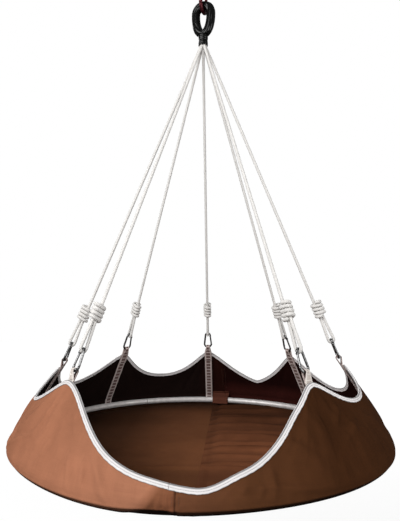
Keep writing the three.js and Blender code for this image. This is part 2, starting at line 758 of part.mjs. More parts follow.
// The eye: the ropes' bundled upper ends, led up one limb and down the other under a black cover.
// Both limbs run together at its foot, which is cut level to stand on the neck.
function eyeLoop() {
  const halfWidth = eyeWidth / 2;
  const shoulder = eyeHeight - bundleRadius - halfWidth; // height of the top bend's centre
  const limbEnd = new THREE.Vector2(halfWidth, shoulder);
  const limb = new THREE.CubicBezierCurve(
    new THREE.Vector2(0, 0),
    new THREE.Vector2(0.67 * halfWidth, 0.15 * shoulder),
    new THREE.Vector2(halfWidth, 0.42 * shoulder),
    limbEnd,
  );
  const limbPoints = limb.getPoints(7);
  const bendSteps = 5;
  for (let i = 1; i <= bendSteps; i++) {
    const angle = ((Math.PI / 2) * i) / bendSteps;
    const [x, y] = [halfWidth * Math.cos(angle), shoulder + halfWidth * Math.sin(angle)];
    limbPoints.push(new THREE.Vector2(x, y));
  }
  const upright = (sign) => limbPoints.map((p) => new THREE.Vector3(sign * p.x, 0, p.y));
  const overlap = new THREE.Vector3(-halfWidth / 20, 0, 0);
  const sides = 12;
  const parts = [1, -1].map((sign) => {
    const points = upright(sign);
    points.push(points[points.length - 1].clone().addScaledVector(overlap, sign));
    return toSolid(roundBar(points, bundleRadius, sides));
  });
  const below = new THREE.BoxGeometry(4 * bundleRadius, 4 * bundleRadius, 2 * bundleRadius);
  below.translate(0, 0, -bundleRadius);
  const foot = new THREE.CylinderGeometry(bundleRadius, bundleRadius, bundleRadius, 2 * sides);
  foot.rotateX(Math.PI / 2).translate(0, 0, bundleRadius / 2);
  return fromSolid(parts[0].add(parts[1]).add(toSolid(foot)).subtract(toSolid(below)));
}

// Assembly

function nest() {
  const group = new THREE.Group();
  const whole = [seamBackAzimuth, seamFrontAzimuth, seamBackAzimuth + 360];
  group.add(piece("wall_right", wallHalf(whole[0], whole[1]), "canvas"));
  group.add(piece("wall_left", wallHalf(whole[1], whole[2]), "canvas"));
  const level = [floorSeamBackAzimuth, floorSeamFrontAzimuth, floorSeamBackAzimuth + 360];
  group.add(piece("floor_right", floorHalf(level[0], level[1]), "canvas"));
  group.add(piece("floor_left", floorHalf(level[1], level[2]), "canvas"));
  const joinGap = toDegrees(seatGap / 2 / peakRadius);
  const [back, front] = [tapeJoinBackAzimuth, tapeJoinFrontAzimuth];
  group.add(piece("binding_right", bindingTape(back + joinGap, front - joinGap), "tape"));
  group.add(piece("binding_left", bindingTape(front + joinGap, back + 360 - joinGap), "tape"));
  group.add(ringFrame(), piece("ring_tab", ringTab(), "canvas"), suspension());

  const neck = piece("neck_sleeve", neckSleeve(), "blackCover");
  neck.position.z = neckMouth;
  const eye = piece("eye", eyeLoop(), "blackCover");
  eye.position.z = eyeFoot;
  eye.rotation.z = -toRadians(carabinerTurn);
  group.add(neck, eye);
  return group;
}

const bowSpan = carabinerLength - carabinerBar; // between the wire's centres at its two bows

function carabiner() {
  const loop = gatedLoop({
    length: carabinerLength,
    width: carabinerWidth,
    wire: carabinerBar,
    topRadius: (carabinerWidth - carabinerBar) / 2,
    gateShare: carabinerGateShare,
    sides: 10,
  });
  const placed = placedLoop(loop, "carabiner", "carabiner_gate", "redMetal");
  const along = polar(carabinerTurn, 1, 0);
  const down = UP.clone().negate(); // the gate's hinge is below, clear of the hanger
  const frame = new THREE.Matrix4().makeBasis(along, down, along.clone().cross(down));
  frame.setPosition(0, 0, carabinerBar / 2 - loop.lowRadius);
  frame.decompose(placed.position, placed.quaternion, placed.scale);
  return placed;
}

const hammock = new THREE.Group();
const hung = nest();
hung.position.z = carabinerBar / 2 - bowSpan - pivotRise;
hammock.add(carabiner(), hung);

export default hammock;
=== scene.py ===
import math

import bpy
import numpy as np
from mathutils import Matrix, Vector


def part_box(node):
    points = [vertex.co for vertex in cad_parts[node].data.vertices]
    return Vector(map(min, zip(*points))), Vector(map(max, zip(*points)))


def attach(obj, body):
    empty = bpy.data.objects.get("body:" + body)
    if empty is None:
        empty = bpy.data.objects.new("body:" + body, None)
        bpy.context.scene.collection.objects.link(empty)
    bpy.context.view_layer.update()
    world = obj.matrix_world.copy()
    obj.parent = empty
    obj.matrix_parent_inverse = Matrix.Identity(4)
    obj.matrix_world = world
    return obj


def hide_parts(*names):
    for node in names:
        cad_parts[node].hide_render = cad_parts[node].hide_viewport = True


# Nest hammock: its cloth, cords and metal as they look. Lengths in the tables are in millimetres,
# angles in degrees. Azimuths run clockwise seen from above, from the back strap (+Y). Heights count
# from the underside of the nest's floor.

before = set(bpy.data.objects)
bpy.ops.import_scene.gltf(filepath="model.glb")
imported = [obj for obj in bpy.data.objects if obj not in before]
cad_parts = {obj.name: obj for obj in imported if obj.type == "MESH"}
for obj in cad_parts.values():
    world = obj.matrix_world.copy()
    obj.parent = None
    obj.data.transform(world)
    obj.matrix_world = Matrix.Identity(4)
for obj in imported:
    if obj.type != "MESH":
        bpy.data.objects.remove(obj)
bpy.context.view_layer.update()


FLOOR_Z = 1000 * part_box("floor_left")[0].z
MM = 0.001

# Dimensions of the solids
NEST_RADIUS, FOOT_RADIUS = 500, 22
PEAK_RADIUS, PEAK_RISE = 399, 194
CLOTH = 2
FOLD_DEPTH = 5
SEAM_BACK, SEAM_FRONT = 7, 181.4
FLOOR_SEAM_BACK, FLOOR_SEAM_FRONT = 2, 178.4
STRAPS = [  # name, azimuth, lift, then the edge's valley after it: azimuth, rise, power
    ("back", 0, 0, 22.5, 92, 1.35),
    ("back_right", 45, 0, 65, 110, 2),
    ("right", 90, 9, 117, 153, 2.2),
    ("front_right", 139.5, 7, 178.6, 45, 2.1),
    ("front_left", 225, 0, 251, 134, 2.2),
    ("left", 270, -9, 289, 118, 2.2),
    ("back_left", 315, 0, 338, 112, 2.2),
]
ENTRANCE = 3
# Kinks of the entrance's edge: azimuth, spread, lift
KINKS = [
    (146.3, 4.2, -6.5), (155.7, 8, -5.4), (168.8, 3.7, 3.4), (176, 3.2, -2.3), (185.8, 5.3, 3.2),
    (200.1, 6.6, -3.5), (214.4, 6.5, 2.1),
]
TAPE_LEG, TAPE_INNER_LEG, TAPE, TAPE_GAP = 10, 9, 1, 0.6
TAPE_JOINS = (-21.7, 182.9)
TUBE_RADIUS, TUBE_WALL, TUBE_START, FERRULE = 9.5, 1.5, 62, 60
TAB_WIDTH, TAB, TAB_RISE, TAB_SEAM, TAB_REACH = 58, 2, 41, 8, 13
WEB_WIDTH, WEB, WEB_GAP, WEB_LOOP, WEB_TAIL = 25, 1.8, 0.8, 12, 30
WEB_FOOT, WEB_NECK = -40, 4
HOOK_LENGTH, HOOK_WIDTH, HOOK_WIRE, HOOK_GATE, HOOK_LIFT = 60, 30, 6, 0.85, 20
ROPE = 8
MOUTH = 1128
ROPE_BEND = 16
KNOT_LIFT, KNOT_PITCH, KNOT_TURNS = 144, 9.8, 4
NECK_LENGTH, NECK_WALL = 34, 1.5
EYE_COVER, EYE_WIDTH, EYE_HEIGHT = 1.4, 48, 104
CARABINER_LENGTH, CARABINER_WIDTH, CARABINER_BAR, CARABINER_GATE = 108, 55, 11, 0.8
CARABINER_TURN = 18
GAP = 0.3
SEAM_GAP = 0.02
UV_RADIUS = 450  # the walls' UVs run along a circle of this radius
SAG, SAG_AZIMUTH, SAG_SPREAD = 10, 194, 27

FOOT_CENTRE = NEST_RADIUS - FOOT_RADIUS
_reach = (FOOT_CENTRE - PEAK_RADIUS, PEAK_RISE - FOOT_RADIUS)
LEAN = math.atan2(*_reach) + math.asin(FOOT_RADIUS / math.hypot(*_reach))
CONE_RISE = FOOT_RADIUS * (1 + math.sin(LEAN))
WEB_DEPTH = CLOTH + TAPE_GAP + TAPE + WEB_GAP + WEB / 2
TUBE_RISE = CLOTH + GAP + TUBE_RADIUS
RING_RADIUS = FOOT_CENTRE - TUBE_RADIUS / 2
STRAND = (ROPE + GAP) / 2
UP = np.array([0.0, 0.0, 1.0])


def linked(name, data):
    made = bpy.data.objects.new(name, data)
    bpy.context.scene.collection.objects.link(made)
    return made


# Camera: the photograph's view of the nest

def add_camera():
    distance, elevation = 1.425, math.radians(14.1616726)
    yaw, pitch, roll = (math.radians(a) for a in (-0.209309807, -4.97537022, 0.380995985))
    turn = Matrix.Rotation(math.radians(3.62436911), 3, "Z")
    place = Vector((0, -distance * math.cos(elevation), distance * math.sin(elevation)))
    forward = Vector((
        math.sin(yaw) * math.cos(pitch),
        math.cos(yaw) * math.cos(pitch),
        -math.sin(pitch),
    ))
    right = forward.cross(Vector((0, 0, 1))).normalized()
    up = right.cross(forward)
    rolled = right * math.cos(roll) + up * math.sin(roll)
    up = up * math.cos(roll) - right * math.sin(roll)
    matrix = Matrix((turn @ rolled, turn @ up, -(turn @ forward))).transposed().to_4x4()
    matrix.translation = turn @ place + Vector((0, 0, MM * (FLOOR_Z + FOOT_RADIUS)))
    camera = linked("camera", bpy.data.cameras.new("camera"))
    camera.data.sensor_width = 36
    camera.data.lens = 486.726216 * 36 / 521
    camera.matrix_world = matrix
    bpy.context.scene.camera = camera


# Node materials

def add(tree, kind, values=None, **settings):
    node = tree.nodes.new(kind)
    for name, value in settings.items():
        setattr(node, name, value)
    for key, value in (values or {}).items():
        if isinstance(value, bpy.types.NodeSocket):
            tree.links.new(value, node.inputs[key])
        else:
            node.inputs[key].default_value = value
    return node


def maths(tree, operation, a, b=0.0):
    return add(tree, "ShaderNodeMath", {0: a, 1: b}, operation=operation).outputs[0]


def noise(tree, coords, scale, detail=2.0, stretch=(1, 1, 1), roughness=0.5):
    if stretch != (1, 1, 1):
        coords = add(tree, "ShaderNodeMapping", {"Vector": coords, "Scale": stretch}).outputs[0]
    values = {"Vector": coords, "Scale": scale, "Detail": detail, "Roughness": roughness}
    return add(tree, "ShaderNodeTexNoise", values).outputs[0]


def ramp(tree, factor, stops):
    node = add(tree, "ShaderNodeValToRGB", {0: factor})
    elements = node.color_ramp.elements
    while len(elements) < len(stops):
        elements.new(0.5)
    for element, (position, value) in zip(elements, stops):
        element.position = position
        element.color = (*value, 1) if hasattr(value, "__len__") else (value, value, value, 1)
    return node.outputs[0]


def mixed(tree, factor, a, b, blend="MIX"):
    values = {0: factor, 6: a, 7: b}
    return add(tree, "ShaderNodeMix", values, data_type="RGBA", blend_type=blend).outputs[2]


def toned(tree, tone, share, factor, stops):
    return mixed(tree, share, tone, ramp(tree, factor, stops), "MULTIPLY")


def spanned(tree, value, low, high):
    return add(tree, "ShaderNodeMapRange", {0: value, 1: low, 2: high}).outputs[0]


def bump(tree, height, distance, strength=1.0, normal=None):
    values = {"Height": height, "Distance": distance, "Strength": strength}
    if normal is not None:
        values["Normal"] = normal
    return add(tree, "ShaderNodeBump", values).outputs[0]


def scaled(colour, share):
    return tuple(share * c for c in colour)


def material(name, roughness, coords="UV", metallic=0.0, **sockets):
    made = bpy.data.materials.new(name)
    made.use_nodes = True
    tree = made.node_tree
    for key, value in {"Roughness": roughness, "Metallic": metallic, **sockets}.items():
        tree.nodes["Principled BSDF"].inputs[key.replace("_", " ")].default_value = value
    return made, tree, add(tree, "ShaderNodeTexCoord").outputs[coords]


def finished(made, tone, normal, rough=None):
    tree = made.node_tree
    for key, value in {"Base Color": tone, "Normal": normal, "Roughness": rough}.items():
        if value is not None:
            tree.links.new(value, tree.nodes["Principled BSDF"].inputs[key])
    return made


def directions(tree, uv):
    return add(tree, "ShaderNodeSeparateXYZ", {0: uv}).outputs[:2]


def wave(tree, place, pitch):
    return maths(tree, "SINE", maths(tree, "MULTIPLY", place, 2 * math.pi / pitch))


# Heights from 0 to 1 out of waves from -1 to 1
def halved(tree, waves):
    return maths(tree, "MULTIPLY_ADD", waves, 0.5)


# Plain weave over UVs in metres: the waves of both directions make its over and under
def weave(tree, places, pitch):
    waves = [wave(tree, place, pitch) for place in places]
    return halved(tree, maths(tree, "MULTIPLY", *waves))


def canvas_tone(tree, uv, colour, threads, slubs):
    shades = [(0.25, scaled(colour, 0.86)), (0.75, scaled(colour, 1.12))]
    tone = ramp(tree, noise(tree, uv, 7, 4), shades)
    tone = toned(tree, tone, 0.3, noise(tree, uv, 34, 3), [(0.3, 0.8), (0.7, 1.1)])
    tone = toned(tree, tone, 0.35, slubs, [(0.3, 0.72), (0.7, 1.2)])
    return toned(tree, tone, 0.3, threads, [(0.0, 0.7), (1.0, 1.1)])


# Painted light and shade of the floor's wrinkles: at each line a pale band of painted light, then a
# dark band of painted shade, patchy along them.
FURROWED = (-400, 480)  # along the seam
FURROW = [(2, 1.12), (15, 0.6), (26, 1.0)]  # from its place on: a pale side, then a dark one


def painted_furrow_shade(tree, uv, places, tone, lines):
    low, high = FURROWED
    wander = maths(tree, "MULTIPLY", noise(tree, uv, 1, 2, (7, 2, 1)), 0.03)
    place = maths(tree, "ADD", maths(tree, "MULTIPLY", places[0], -0.05), wander)
    span = spanned(tree, maths(tree, "ADD", place, places[1]), MM * low, MM * high)
    stops = [((at + off - low) / (high - low), level) for at in lines for off, level in FURROW]
    patchy = ramp(tree, noise(tree, uv, 9, 2), [(0.35, 0.25), (0.6, 1.0)])
    return mixed(tree, patchy, tone, toned(tree, tone, 1.0, span, stops))


def canvas(name, colour, crease=0.0012, tones=(), lines=(), drape=0):
    made, tree, uv = material(name, 0.9, Specular_IOR_Level=0.04)
    places = directions(tree, uv)
    threads = weave(tree, places, 0.0016)
    runs = [noise(tree, uv, 1, 3, stretch) for stretch in ((900, 26, 1), (26, 900, 1))]
    slubs = maths(tree, "MULTIPLY", maths(tree, "ADD", *runs), 0.5)
    tone = canvas_tone(tree, uv, colour, threads, slubs)
    fine = bump(tree, slubs, 0.0002, 0.6, bump(tree, threads, 0.00025, 0.7))
    broad = bump(tree, noise(tree, uv, 30, 3, (1, 0.6, 1), 0.45), crease, 0.5, fine)
    if drape:  # soft creases that run up the cloth
        hang = noise(tree, uv, 1, 2, (13, 3.2, 1), 0.6)
        # The creases are painted too: lighter on their ridges and darker in their hollows, painted
        # light and shade.
        tone = toned(tree, tone, 1.0, hang, [(0.3, 0.94), (0.7, 1.06)])
        broad = bump(tree, hang, drape, 0.6, broad)
    for along, up, low, high, stops in tones:
        parts = [maths(tree, "MULTIPLY", *pair) for pair in zip(places, (along, up))]
        tone = toned(tree, tone, 1.0, spanned(tree, maths(tree, "ADD", *parts), low, high), stops)
    if lines:
        tone = painted_furrow_shade(tree, uv, places, tone, lines)
    return finished(made, tone, broad)


# Folded cotton tape, ribbed across. It is white with a grey stitched line on each leg; the grey along
# its fold and the dark edges of its legs are painted shade. Stops over 24 mm from the inside over the
# fold, in the middle, to the outside.
TAPE_BANDS = [
    (0.10, 0.3), (0.14, 1.0), (0.27, 1.0), (0.31, 0.85), (0.35, 1.0), (0.44, 1.0), (0.46, 0.3),
    (0.54, 0.3), (0.57, 1.0), (0.67, 1.0), (0.71, 0.72), (0.75, 1.0), (0.86, 1.0), (0.91, 0.3),
]
# Along the tape: greyer at the entrance, and lifted by painted light above its own white everywhere
# else, where it sits in shade.
TAPE_FRONT = [(0.0, 1.14), (0.25, 0.82), (0.75, 0.82), (1.0, 1.14)]  # along it: greyer at the entrance


def tape(name, colour):
    made, tree, uv = material(name, 0.8, Sheen_Weight=0.1)
    across, along = directions(tree, uv)
    ribs = halved(tree, wave(tree, along, 0.0011))
    tone = ramp(tree, noise(tree, uv, 45, 4), [(0.3, scaled(colour, 0.9)), (0.7, colour)])
    tone = toned(tree, tone, 0.15, ribs, [(0.0, 0.75), (1.0, 1.0)])
    tone = toned(tree, tone, 1.0, spanned(tree, along, 0.9, 1.9), TAPE_FRONT)
    tone = toned(tree, tone, 1.0, spanned(tree, across, -0.012, 0.012), TAPE_BANDS)
    fine = bump(tree, ribs, 0.00015, 0.6)
    return finished(made, tone, bump(tree, noise(tree, uv, 90, 2), 0.0008, 0.5, fine))


# Webbing: a row of dark woven blocks between two lighter cords, ribbed across
def webbing(name, light, dark):
    made, tree, uv = material(name, 0.75, Sheen_Weight=0.15)
    place, along = directions(tree, uv)
    across = maths(tree, "ABSOLUTE", place)
    step = maths(tree, "FRACT", maths(tree, "DIVIDE", along, 0.0135))
    rung = maths(tree, "COMPARE", step, 0.5)
    rung.node.inputs[2].default_value = 0.38
    block = maths(tree, "MULTIPLY", rung, maths(tree, "LESS_THAN", across, 0.0072))
    edge = maths(tree, "GREATER_THAN", across, 0.0118)
    pattern = maths(tree, "MAXIMUM", block, maths(tree, "MULTIPLY", edge, 0.6))
    ribs = halved(tree, wave(tree, along, 0.0016))
    tone = mixed(tree, pattern, (*light, 1), (*dark, 1))
    tone = toned(tree, tone, 0.4, noise(tree, uv, 60, 4), [(0.3, 0.75), (0.7, 1.1)])
    tone = toned(tree, tone, 0.35, ribs, [(0.0, 0.6), (1.0, 1.1)])
    low = bump(tree, ribs, 0.0003, 0.8)
    return finished(made, tone, bump(tree, maths(tree, "SUBTRACT", 1.0, pattern), 0.0005, 0.6, low))


# Braided cord: strands crossing in two directions, over UVs in metres round and along it
def braid(name, colour):
    made, tree, uv = material(name, 0.72, Sheen_Weight=0.2)
    around, along = directions(tree, uv)
    strands = [wave(tree, maths(tree, way, along, around), 0.0052) for way in ("ADD", "SUBTRACT")]
    plait = halved(tree, maths(tree, "MULTIPLY", *strands))
    fibre = noise(tree, uv, 1, 3, (2600, 300, 1))
    tone = ramp(tree, noise(tree, uv, 40, 3), [(0.3, scaled(colour, 0.93)), (0.7, colour)])
    tone = toned(tree, tone, 0.12, plait, [(0.0, 0.62), (0.6, 1.0)])
    tone = toned(tree, tone, 0.2, fibre, [(0.3, 0.8), (0.7, 1.05)])
    return finished(made, tone, bump(tree, plait, 0.0005, 0.7, bump(tree, fibre, 0.0002, 0.5)))


def metal(name, colour, roughness, metallic=1.0):
    made, tree, place = material(name, roughness, "Object", metallic)
    brushed = noise(tree, place, 1, 3, (400, 400, 40))
    shades = [(0.3, scaled(colour, 0.82)), (0.7, scaled(colour, 1.08))]
    rough = ramp(tree, brushed, [(0.3, 0.75 * roughness), (0.7, 1.3 * roughness)])
    tone = ramp(tree, noise(tree, place, 60, 5), shades)
    return finished(made, tone, bump(tree, brushed, 0.0002, 0.25), rough)


def cover(name):
    made, tree, place = material(name, 0.2, "Object", Specular_IOR_Level=0.2)
    cloud, fine = noise(tree, place, 70, 4), noise(tree, place, 420, 3)
    tone = ramp(tree, cloud, [(0.3, 0.002), (0.75, 0.005)])
    rough = ramp(tree, fine, [(0.3, 0.12), (0.7, 0.2)])
    return finished(made, tone, bump(tree, cloud, 0.001, 0.3, bump(tree, fine, 0.0001, 0.2)), rough)


def thread(name, colour):
    made, tree, place = material(name, 0.7, "Object")
    twist = noise(tree, place, 2500, 2)
    tone = ramp(tree, twist, [(0.3, scaled(colour, 0.75)), (0.7, colour)])
    return finished(made, tone, bump(tree, twist, 0.0001, 0.6))


# The left half's lighter canvas and the right half's darker one are partly two tones of cloth and
# partly painted light on the left and painted shade on the right, the side turned from the key lamp.
LIGHT_CANVAS = (0.315, 0.129, 0.071)
DARK_CANVAS = (0.085, 0.031, 0.0115)
# Tones that canvas takes on over its UVs: share of each axis, from where to where, and the stops
# Painted shade along the underside of the foot, where the cloth turns down and away from the light.
FOOT_SHADE = (0, 1, -0.035, 0.011, [(0.4, 0.04), (0.5, 0.3), (0.62, 1.0)])  # a dark edge under the foot
LOOKS = {
    # Outer left: besides the painted shade under the foot, painted light lightens it towards the front
    # seam, and painted shade darkens a thin line along that seam and a wedge low beside it where the
    # cloth tucks under.
    "outer_left": canvas("canvas_outer_left", LIGHT_CANVAS, tones=[
        FOOT_SHADE, (1, 0, 1.42, 1.70, [(0.0, (1.3, 1.34, 1.38)), (1.0, 1.0)]),
        (1, 0, 1.4247, 1.4295, [(0.0, 0.3), (0.4, 0.45), (1.0, 1.0)]),
        (1, 0.85, 1.425, 1.50, [(0.0, (0.4, 0.35, 0.3)), (0.55, (0.5, 0.46, 0.4)), (0.85, 1.0)]),
    ], drape=0.012),
    # Outer right: painted shade under the foot, and painted light that lightens it towards the front
    # seam and darkens it further round to the right, away from the key lamp.
    "outer_right": canvas("canvas_outer_right", DARK_CANVAS, tones=[
        FOOT_SHADE, (1, 0, 0.8, 1.43, [
            (0.0, 0.62), (0.5, (0.56, 0.54, 0.5)), (0.8, (0.95, 0.98, 1.05)), (1.0, (1.45, 1.55, 2.0)),
        ]),
    ], drape=0.014),
    # The inner faces: dark cloth made near black by painted shade, the left side darker still; on the
    # left it lifts with painted light towards the back seam, and on the right it is lighter near the
    # foot.
    "inner_left": canvas("canvas_inner_left", (0.012, 0.006, 0.005), tones=[
        (1, 0, 2.79, 2.86, [(0.0, 1.0), (0.7, (1.8, 0.9, 0.7))]),
    ]),
    "inner_right": canvas("canvas_inner_right", (0.02, 0.0045, 0.0035), tones=[
        (0, 1, 0.0, 0.07, [(0.1, 1.7), (0.45, 2.0), (1.0, 0.8)]),
    ]),
    # The floor halves: painted shadow of the walls darkens them towards the back rim and, on the left,
    # towards the left wall; painted light lifts them across the front middle. The right half's lines
    # are painted wrinkle light and shade.
    "floor_left": canvas("canvas_floor_left", (0.14, 0.052, 0.022), tones=[
        (0, 1, -0.3, 0.47, [
            (0.0, 0.8), (0.12, 1.4), (0.24, 1.35), (0.4, 0.97), (0.8, 0.72), (0.92, 0.3), (1.0, 0.1),
        ]),
        (1, 0, -0.42, -0.02, [(0.0, 0.1), (0.5, 0.42), (0.8, 0.9), (1.0, 1.15)]),
    ]),
    "floor_right": canvas("canvas_floor_right", (0.13, 0.046, 0.0205), tones=[
        (0, 1, -0.3, 0.47, [
            (0.0, 0.85), (0.14, 1.42), (0.25, 1.35), (0.4, 0.95), (0.54, 0.9), (0.68, 0.58), (0.9, 0.4),
            (1.0, 0.1),
        ]),
    ], lines=(-206, -146, -96, -44, 12, 66, 152, 208, 268, 338)),
    "tab": canvas("canvas_tab", (0.105, 0.036, 0.022), 0.0006),
    "tape": tape("binding_tape", (0.84, 0.81, 0.81)),
    "webbing": webbing("strap_webbing", (0.6, 0.5, 0.47), (0.13, 0.07, 0.06)),
    # A paler copy of the webbing with its blocks faded, for the faces turned to the light: painted
    # light.
    "webbing_painted_light": webbing("strap_webbing_painted_light", (0.78, 0.72, 0.67), (0.62, 0.55, 0.5)),
    "rope": braid("white_cord", (0.7, 0.68, 0.655)),
    "tube": metal("painted_tube", (0.7, 0.665, 0.65), 0.42, metallic=0.25),
    "zinc": metal("zinc_steel", (0.2, 0.2, 0.2), 0.3),
    "cover": cover("black_cover"),
    "red": metal("red_anodised", (0.08, 0.012, 0.016), 0.34, metallic=0.75),
    "thread_tape": thread("tape_thread", (0.42, 0.39, 0.39)),
    "thread_brown": thread("canvas_thread", (0.07, 0.032, 0.018)),
}


# Meshes, from points in millimetres

def mesh_piece(name, points, faces, uvs, looks, body="nest", slot=None, replaces=(), face_looks=None):
    mesh = bpy.data.meshes.new(name)
    placed = MM * (np.asarray(points, float) + (0, 0, FLOOR_Z))
    mesh.from_pydata([tuple(p) for p in placed], [], faces)
    for look in [looks] if isinstance(looks, str) else looks:
        mesh.materials.append(LOOKS[look])
    if face_looks is not None:
        mesh.polygons.foreach_set("material_index", np.asarray(face_looks, np.int32))
    mesh.polygons.foreach_set("use_smooth", np.ones(len(mesh.polygons), bool))
    layer = mesh.uv_layers.new(name="UVMap")
    layer.data.foreach_set("uv", np.asarray(uvs, np.float32).ravel())
    mesh.validate()
    mesh.update()
    made = linked(name, mesh)
    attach(made, body)
    if replaces:
        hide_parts(*replaces)
    return made


def arc_lengths(points):
    steps = np.linalg.norm(np.diff(points, axis=0), axis=1)
    return np.concatenate([[0], np.cumsum(steps)])


# A closed body through rings, each ring a closed section, with flat ends unless it is a loop. Its UVs
# are in metres: the first is round the section and the second along the body, unless places gives
# them for each point.
def swept(rings, places=None, loop=False):
    rings = np.asarray(rings, float)
    count, size = rings.shape[:2]
    if places is None:
        widest, middle = rings[count // 2], rings.mean(axis=1)
        around = arc_lengths(np.vstack([widest, widest[:1]]))
        along = arc_lengths(np.vstack([middle, middle[:1]]) if loop else middle)
        grid, places = np.stack(np.meshgrid(around, along), -1), np.zeros((count, size, 2))
    else:
        grid = np.concatenate([places, places[:, :1]], axis=1)
    faces, uvs = [], []
    for i in range(count if loop else count - 1):
        below = (i + 1) % count
        for j in range(size):
            beside = (j + 1) % size
            faces.append((i * size + j, i * size + beside, below * size + beside, below * size + j))
            uvs += [grid[i, j], grid[i, j + 1], grid[i + 1, j + 1], grid[i + 1, j]]
    if not loop:
        for i, order in ((0, range(size - 1, -1, -1)), (count - 1, range(size))):
            faces.append(tuple(i * size + j for j in order))
            uvs += [places[i, j] for j in order]
    return rings.reshape(-1, 3), faces, MM * np.asarray(uvs, float)


def unit(v):
    v = np.asarray(v, float)
    return v / np.linalg.norm(v, axis=-1, keepdims=True)


# Frames along a path that turn with it and never spin about it
def path_frames(points, first=None):
    points = np.asarray(points, float)
    steps = unit(np.diff(points, axis=0))
    tangents = np.vstack([steps[:1], unit(steps[1:] + steps[:-1]), steps[-1:]])
    side = first if first is not None else np.cross(tangents[0], [0.3, 0.5, 0.81])
    sides = []
    for tangent in tangents:
        side = unit(side - tangent * np.dot(side, tangent))
        sides.append(side)
    sides = np.array(sides)
    return tangents, sides, np.cross(tangents, sides)


# Round sections at the points of a path. The radii are one for all, one for each point or, for each
# point, one for each side.
def sections(points, across, other, radii, sides):
    angles = 2 * math.pi * np.arange(sides) / sides
    radii = np.asarray(radii, float)
    radii = radii if radii.ndim == 2 else radii.reshape(-1, 1)
    return (
        points[:, None]
        + (radii * np.cos(angles))[..., None] * across[:, None]
        + (radii * np.sin(angles))[..., None] * other[:, None]
    )


def bar(points, radii, sides):
    points = np.asarray(points, float)
    return swept(sections(points, *path_frames(points)[1:], radii, sides))


def smooth_path(points, spacing):
    points = np.asarray(points, float)
    padded = np.vstack([2 * points[0] - points[1], points, 2 * points[-1] - points[-2]])
    out = []
    for i in range(1, len(padded) - 2):
        a, b, c, d = padded[i - 1:i + 3]
        count = max(2, int(np.linalg.norm(c - b) / spacing))
        for t in np.arange(count) / count:
            out.append(0.5 * (
                2 * b + (c - a) * t + (2 * a - 5 * b + 4 * c - d) * t**2
                + (3 * b - a - 3 * c + d) * t**3
            ))
    out.append(points[-1])
    return np.array(out)


def joined(parts):
    points, faces, uvs, start = [], [], [], 0
    for part_points, part_faces, part_uvs in parts:
        points.append(part_points)
        faces += [tuple(start + i for i in face) for face in part_faces]
        uvs.append(part_uvs)
        start += len(part_points)
    return np.vstack(points), faces, np.vstack(uvs)


# Shape of the nest

def polar(azimuth, radius, height):
    angle = np.radians(azimuth)
    x, y, z = np.broadcast_arrays(radius * np.sin(angle), radius * np.cos(angle), height)
    return np.stack([x, y, z], axis=-1).astype(float)


def on_cone(azimuth, rise, depth):
    radius = PEAK_RADIUS + (PEAK_RISE - rise) * math.tan(LEAN) - depth * math.cos(LEAN)
    return polar(azimuth, radius, rise - depth * math.sin(LEAN))


def on_foot(azimuth, angle, depth):
    radius = FOOT_RADIUS - depth
    turn = np.radians(angle)
    return polar(azimuth, FOOT_CENTRE + radius * np.cos(turn), FOOT_RADIUS + radius * np.sin(turn))


STARTS, LIFTS, VALLEYS, VALLEY_RISES, POWERS = np.array([s[1:] for s in STRAPS], float).T
ENDS = np.append(STARTS[1:], 360)
END_LIFTS = np.roll(LIFTS, -1)


def smoothstep(x, low, high):
    t = np.clip((x - low) / (high - low), 0, 1)
    return t * t * (3 - 2 * t)


# From 0 up to 1 and down to 0 again
def between(x, low, full, fading, gone):
    return smoothstep(x, low, full) * (1 - smoothstep(x, fading, gone))


def bell(x, at, width):
    return np.exp(-(((x - at) / width) ** 2))


def ridge(away, width):
    return np.exp(-0.5 * (away / width) ** 2)


def bay_at(azimuth):
    turned = np.mod(azimuth, 360)
    bay = np.searchsorted(STARTS, turned, side="right") - 1
    offset = turned - VALLEYS[bay]
    width = np.where(offset < 0, VALLEYS[bay] - STARTS[bay], ENDS[bay] - VALLEYS[bay])
    return bay, offset / width


def edge_rise(azimuth):
    bay, share = bay_at(azimuth)
    power, distance = POWERS[bay], np.abs(share)
    top = np.where(bay == ENTRANCE, 5, 8)
    rounding = power / (top - power)
    climb = (1 + rounding) * distance**power - rounding * distance**top
    peak = PEAK_RISE + np.where(share < 0, LIFTS[bay], END_LIFTS[bay])
    kinks = sum(lift * bell(azimuth, at, spread) for at, spread, lift in KINKS)
    return VALLEY_RISES[bay] + (peak - VALLEY_RISES[bay]) * climb + np.where(bay == ENTRANCE, kinks, 0)


def fold_swell(azimuth, share):
    bay, offset = bay_at(azimuth)
    across = np.sin(math.pi * offset * np.where(bay == ENTRANCE, 2, 1)) ** 2
    low = CONE_RISE + TAPE_LEG
    tall = smoothstep(edge_rise(azimuth), low, 2 * low)
    return FOLD_DEPTH * across * np.sin(math.pi * np.clip(share, 0, 1)) * tall


# How far the cloth sags below the solid at a place round the foot
def sag(azimuth):
    return SAG * bell(azimuth, SAG_AZIMUTH, SAG_SPREAD)


